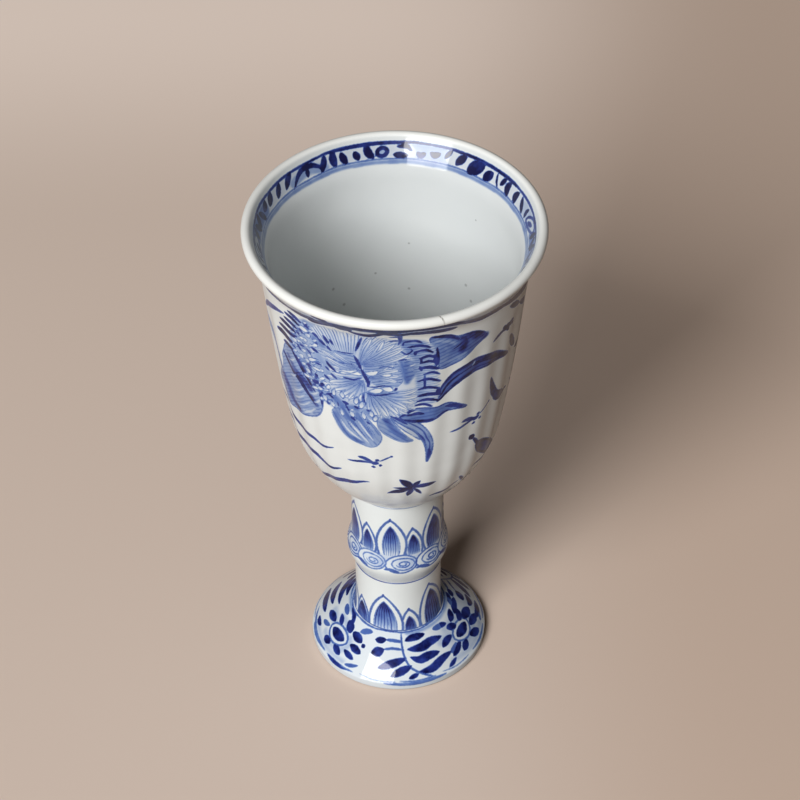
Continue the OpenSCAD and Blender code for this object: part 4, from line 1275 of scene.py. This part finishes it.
inside_paint.strokes([
    ([[-46.8, 2], [-46.2, 3.4], [-46.4, 5.2]], 1.4), ([[-44.4, 5.4], [-42.8, 3.6], [-41.6, 1.7]], 1.6),
    ([[-39.8, 1.8], [-39, 3.6], [-39.4, 5.6]], 2.1), ([[-35.6, 1.4], [-35, 3.6], [-35.8, 5.8]], 2.1),
    ([[-33.6, 1.4], [-32.8, 3.2], [-32.2, 4.4]], 1.4), ([[-30.2, 1.6], [-30.6, 3.8], [-31.8, 5.8]], 0.7),
    ([[-28.8, 2.5], [-27.6, 4], [-26.4, 5.8]], 2.8), ([[-25.6, 1.9], [-23.2, 3.6], [-21, 6]], 3.9),
    ([[-19.8, 1.6], [-18.4, 3.2], [-17.2, 5]], 2.3), ([[-15.6, 1.4], [-14.6, 2.8], [-13.8, 4.2]], 1.4),
    ([[-12.6, 3], [-11, 3.8], [-9.6, 3.2]], 1.9), ([[-8.6, 3.6], [-7.2, 4.4], [-6, 3.6]], 1.8),
    ([[-4.8, 3.4], [-3.2, 2.2], [-0.8, 2.4]], 1.4), ([[-3.8, 4.6], [-2, 4.8], [0.2, 4.5]], 2.0),
    ([[5.4, 5.4], [6.8, 3.6], [7.4, 1.2]], 2.3), ([[9.4, 5.2], [10, 4], [10.6, 2.6]], 2.0),
    ([[13, 5.6], [13.7, 3.9], [14.2, 2]], 2.1), ([[16.2, 5.6], [16.6, 3.2], [16.2, 0.9]], 2.3),
    ([[18.8, 1.2], [19.4, 3.4], [20.6, 5.8]], 1.9),
    ([[19.6, 5.8], [21.4, 3.4], [24.4, 2.3], [27.4, 3], [30.6, 6]], 1.6),
    ([[24.6, 2.6], [24.8, 3.9], [25, 5.2]], 1.5), ([[29.6, 1], [31.4, 2.6], [33.2, 4.6]], 2.0),
    ([[34.6, 1.4], [35.8, 3], [37.2, 4.8]], 2.0), ([[38.8, 1.4], [40, 2.8], [41.6, 4.2]], 2.3),
    ([[42.2, 1.6], [43.6, 3], [45, 3.4]], 2.2), ([[45.6, 5.4], [46.4, 3.4], [47.4, 1.8]], 2.1),
    ([[48, 1.4], [49.2, 3], [50, 4.8]], 2.2), ([[50.6, 5.2], [51.4, 3.4], [52.4, 1.8]], 2.1),
    ([[53, 1.6], [54, 3.2], [54.8, 4.8]], 2.0),
], tone=1.0, blunt=0.55)
inside_paint.petal([[-55, 2.8], [-51.6, 3.2], [-47.8, 4.4]], 3.0, (0.1, 0.1), outline=0.8, tone=0.8,
                   blunt=0.5)
inside_paint.dab(-50.8, 3.7, 3.6, 1.3, 18, tone=0.85)
inside_paint.petal([[1.8, 3.4], [3, 3.7], [4.4, 4.2]], 2.2, (0.24, 0.24), outline=1.2, tone=1.0, blunt=0.5)
inside_paint.keep_on(bowl_inside)

# A hairline crack across the lip at the front.
flaws = Painting(inside_angles - np.pi, inside_side[:, 0], inside_along, inside_reference)
half_round = np.pi * inside_reference
crack = np.array([[10.9, -4.8], [10.8, -3.2], [10.2, -1.6], [9.9, -0.4]])
flaws.brush(crack - [half_round, 0], 0.34, 0.8)
flaws.keep_on(bowl_inside, prefix="flaw_")

# The glaze runs off the lip, which is less of a mirror than the wall. On the lip the painted shade of
# the inside gives way to a white close to the outside's.
lip_rows = ease(-inside_along, 0.0, 1.2)
mark(bowl_inside, "lip", np.repeat(lip_rows, inside_angles.size))

# Over the band the glaze leans back. The share of the way down the band is the height of that lean. At the
# far side it is thick there and mirrors the lamp, and at the sides it is thin.
lean_height = 7.5
lean_angle = 10.0
lip_thinning = 0.34
band_thinning = 0.3
far_thickening = 0.68
lean_rows = np.clip(inside_along / lean_height, 0, 1)
mark(bowl_inside, "lean", np.repeat(lean_rows, inside_angles.size), plain=1.0)
far_side = ease(np.sin(inside_angles), 0.75, 0.9)
band_share = 4 * lean_rows * (1 - lean_rows)
lip_coat = glaze_coat - lip_thinning * lip_rows
band_coat = band_share[:, None] * (far_thickening * far_side - band_thinning)[None, :]
mark(bowl_inside, "coat", lip_coat[:, None] + band_coat, plain=glaze_coat)

# The inside's white is a little bluer glaze, and darker than the outside's as painted shade.
inside_glaze_painted_shade = cobalt_under_glaze("bowl_inside_glaze", (218, 221, 220), (213, 217, 217), shine=0.4)
inside_tree = inside_glaze_painted_shade.node_tree
inside_shader = inside_tree.nodes["glaze"].inputs
inside_tree.links.new(stored(inside_tree, "coat"), inside_shader["Coat Weight"])
rippled = inside_shader["Normal"].links[0].from_socket
lean_depth = lean_height * np.tan(np.radians(lean_angle)) * millimetre
leaning = add(inside_tree, "ShaderNodeBump", {"Height": stored(inside_tree, "lean"), "Strength": 1.0,
                                              "Distance": lean_depth, "Normal": rippled})
inside_tree.links.new(leaning.outputs["Normal"], inside_shader["Coat Normal"])
painted = inside_shader["Base Color"].links[0].from_socket
with_lip = mixed(inside_tree, stored(inside_tree, "lip"), painted, linear(242, 243, 239))
cracked = between(inside_tree, stored(inside_tree, "flaw_ink"), 0.15, -0.1, "LINEAR")
crack_depth = sums(inside_tree, "MULTIPLY", cracked, stored(inside_tree, "flaw_ink_tone"))
inside_colour = mixed(inside_tree, crack_depth, with_lip, linear(92, 84, 72))

# Iron specks in the glaze inside: across and down as on the band, and the size of each. They fade out
# towards their edge.
specks = [(21.5, 43, 0.6), (18.1, 49.3, 0.6), (6.4, 41.7, 0.45), (-4.6, 47, 0.5), (-24.7, 40.8, 0.6),
          (-27.5, 44.9, 0.6), (-4.4, 32.2, 0.4), (-26.1, 18.6, 0.36)]
speck_strength = 0.42
place = add(inside_tree, "ShaderNodeTexCoord", {}).outputs["Object"]
for speck_x, speck_y, speck_size in specks:
    speck_radius, speck_z = along(inside_line, [speck_y + lip_length + band_start])[0]
    speck_turn = speck_x / inside_reference + np.pi / 2
    speck_place = np.array([speck_radius * np.cos(speck_turn), speck_radius * np.sin(speck_turn), speck_z])
    apart = add(inside_tree, "ShaderNodeVectorMath", {0: place, 1: (speck_place * millimetre).tolist()},
                operation="DISTANCE").outputs["Value"]
    speck_edge = speck_size * millimetre
    shown = between(inside_tree, apart, speck_edge, 0.4 * speck_edge, "LINEAR")
    speck_share = sums(inside_tree, "MULTIPLY", shown, speck_strength)
    inside_colour = mixed(inside_tree, speck_share, inside_colour, linear(70, 68, 66))
inside_tree.links.new(inside_colour, inside_shader["Base Color"])
bowl_inside.data.materials.append(inside_glaze_painted_shade)
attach(bowl_inside, "root")
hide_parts("bowl")

# Floor, lamps and camera
# A plain, pale, warm floor under one large soft lamp from the front left, with a little light all round.
# Its colour holds painted light, lighter at the far left, and painted shadow, darker and browner at the
# right. The light that the floor throws back on the cup is that of a darker floor.
floor_mesh = bpy.data.meshes.new("floor")
floor_reach = 4.0
floor_mesh.from_pydata([[-floor_reach, -floor_reach, 0], [floor_reach, -floor_reach, 0],
                        [floor_reach, floor_reach, 0], [-floor_reach, floor_reach, 0]], [], [[0, 1, 2, 3]])
floor = bpy.data.objects.new("floor", floor_mesh)
bpy.context.scene.collection.objects.link(floor)
floor_paper = bpy.data.materials.new("floor_paper")
floor_paper.use_nodes = True
paper_tree = floor_paper.node_tree
paper = paper_tree.nodes["Principled BSDF"]
ray = add(paper_tree, "ShaderNodeLightPath", {}).outputs
looked_at = sums(paper_tree, "ADD", ray["Is Camera Ray"], ray["Is Glossy Ray"])
looked_at = sums(paper_tree, "ADD", looked_at, ray["Is Transmission Ray"])
spot = add(paper_tree, "ShaderNodeTexCoord", {}).outputs["Object"]
floor_x, floor_y, _ = add(paper_tree, "ShaderNodeSeparateXYZ", {0: spot}).outputs
# Painted shadow: the floor colour is darker and browner towards the right, where the cup's shadow falls.
painted_shadow_right = between(paper_tree, floor_x, 0.0, 0.1)
# Painted light: the floor colour is lighter towards the far left.
farther = between(paper_tree, floor_y, 0.18, 0.31)
lefter = between(paper_tree, floor_x, 0.14, -0.02)
colour_with_painted_shadow = mixed(paper_tree, painted_shadow_right, linear(224, 204, 189), linear(214, 190, 172))
painted_light_far_left = sums(paper_tree, "MULTIPLY", farther, lefter)
floor_colour_with_painted_light = mixed(paper_tree, painted_light_far_left, colour_with_painted_shadow, linear(254, 235, 221))
paper_colour = mixed(paper_tree, looked_at, linear(110, 96, 86), floor_colour_with_painted_light)
paper_tree.links.new(paper_colour, paper.inputs["Base Color"])
paper.inputs["Roughness"].default_value = 0.9
floor_mesh.materials.append(floor_paper)

aim = Vector((0.001, 0, 0.0896))


def soft_lamp(name, azimuth, elevation, distance, size, power):
    """A square lamp that faces the cup. Azimuth is measured from the front towards +X, in degrees."""
    turn, lift = np.radians(azimuth), np.radians(elevation)
    way = Vector((np.sin(turn) * np.cos(lift), -np.cos(turn) * np.cos(lift), np.sin(lift)))
    light = bpy.data.lights.new(name, "AREA")
    light.shape = "SQUARE"
    light.size = size
    light.energy = power
    lamp = bpy.data.objects.new(name, light)
    lamp.location = aim + way * distance
    lamp.rotation_euler = way.to_track_quat("Z", "Y").to_euler()
    bpy.context.scene.collection.objects.link(lamp)


soft_lamp("key_lamp", azimuth=-29, elevation=36, distance=3.6, size=1.9, power=155)
world = bpy.data.worlds.new("studio")
world.use_nodes = True
background = world.node_tree.nodes["Background"].inputs
background["Color"].default_value = (1.0, 0.86, 0.77, 1)
background["Strength"].default_value = 0.045
bpy.context.scene.world = world

# The camera was fitted to the ellipses of the rim and the foot in the photo.
camera_data = bpy.data.cameras.new("camera")
camera_data.sensor_width = 36.0
camera_data.lens = 144.0
camera = bpy.data.objects.new("camera", camera_data)
camera_place = Vector((0, -0.64048, 0.67975))
forward = Vector((0.0011, 0.73545, -0.67757)).normalized()
right = Vector((0.99995, -0.00777, -0.00674)).normalized()
up = right.cross(forward).normalized()
camera_turn = Matrix((right, up, -forward)).transposed().to_4x4()
camera.matrix_world = Matrix.Translation(camera_place) @ camera_turn
bpy.context.scene.collection.objects.link(camera)
bpy.context.scene.camera = camera
bpy.context.scene.view_settings.view_transform = "Standard"
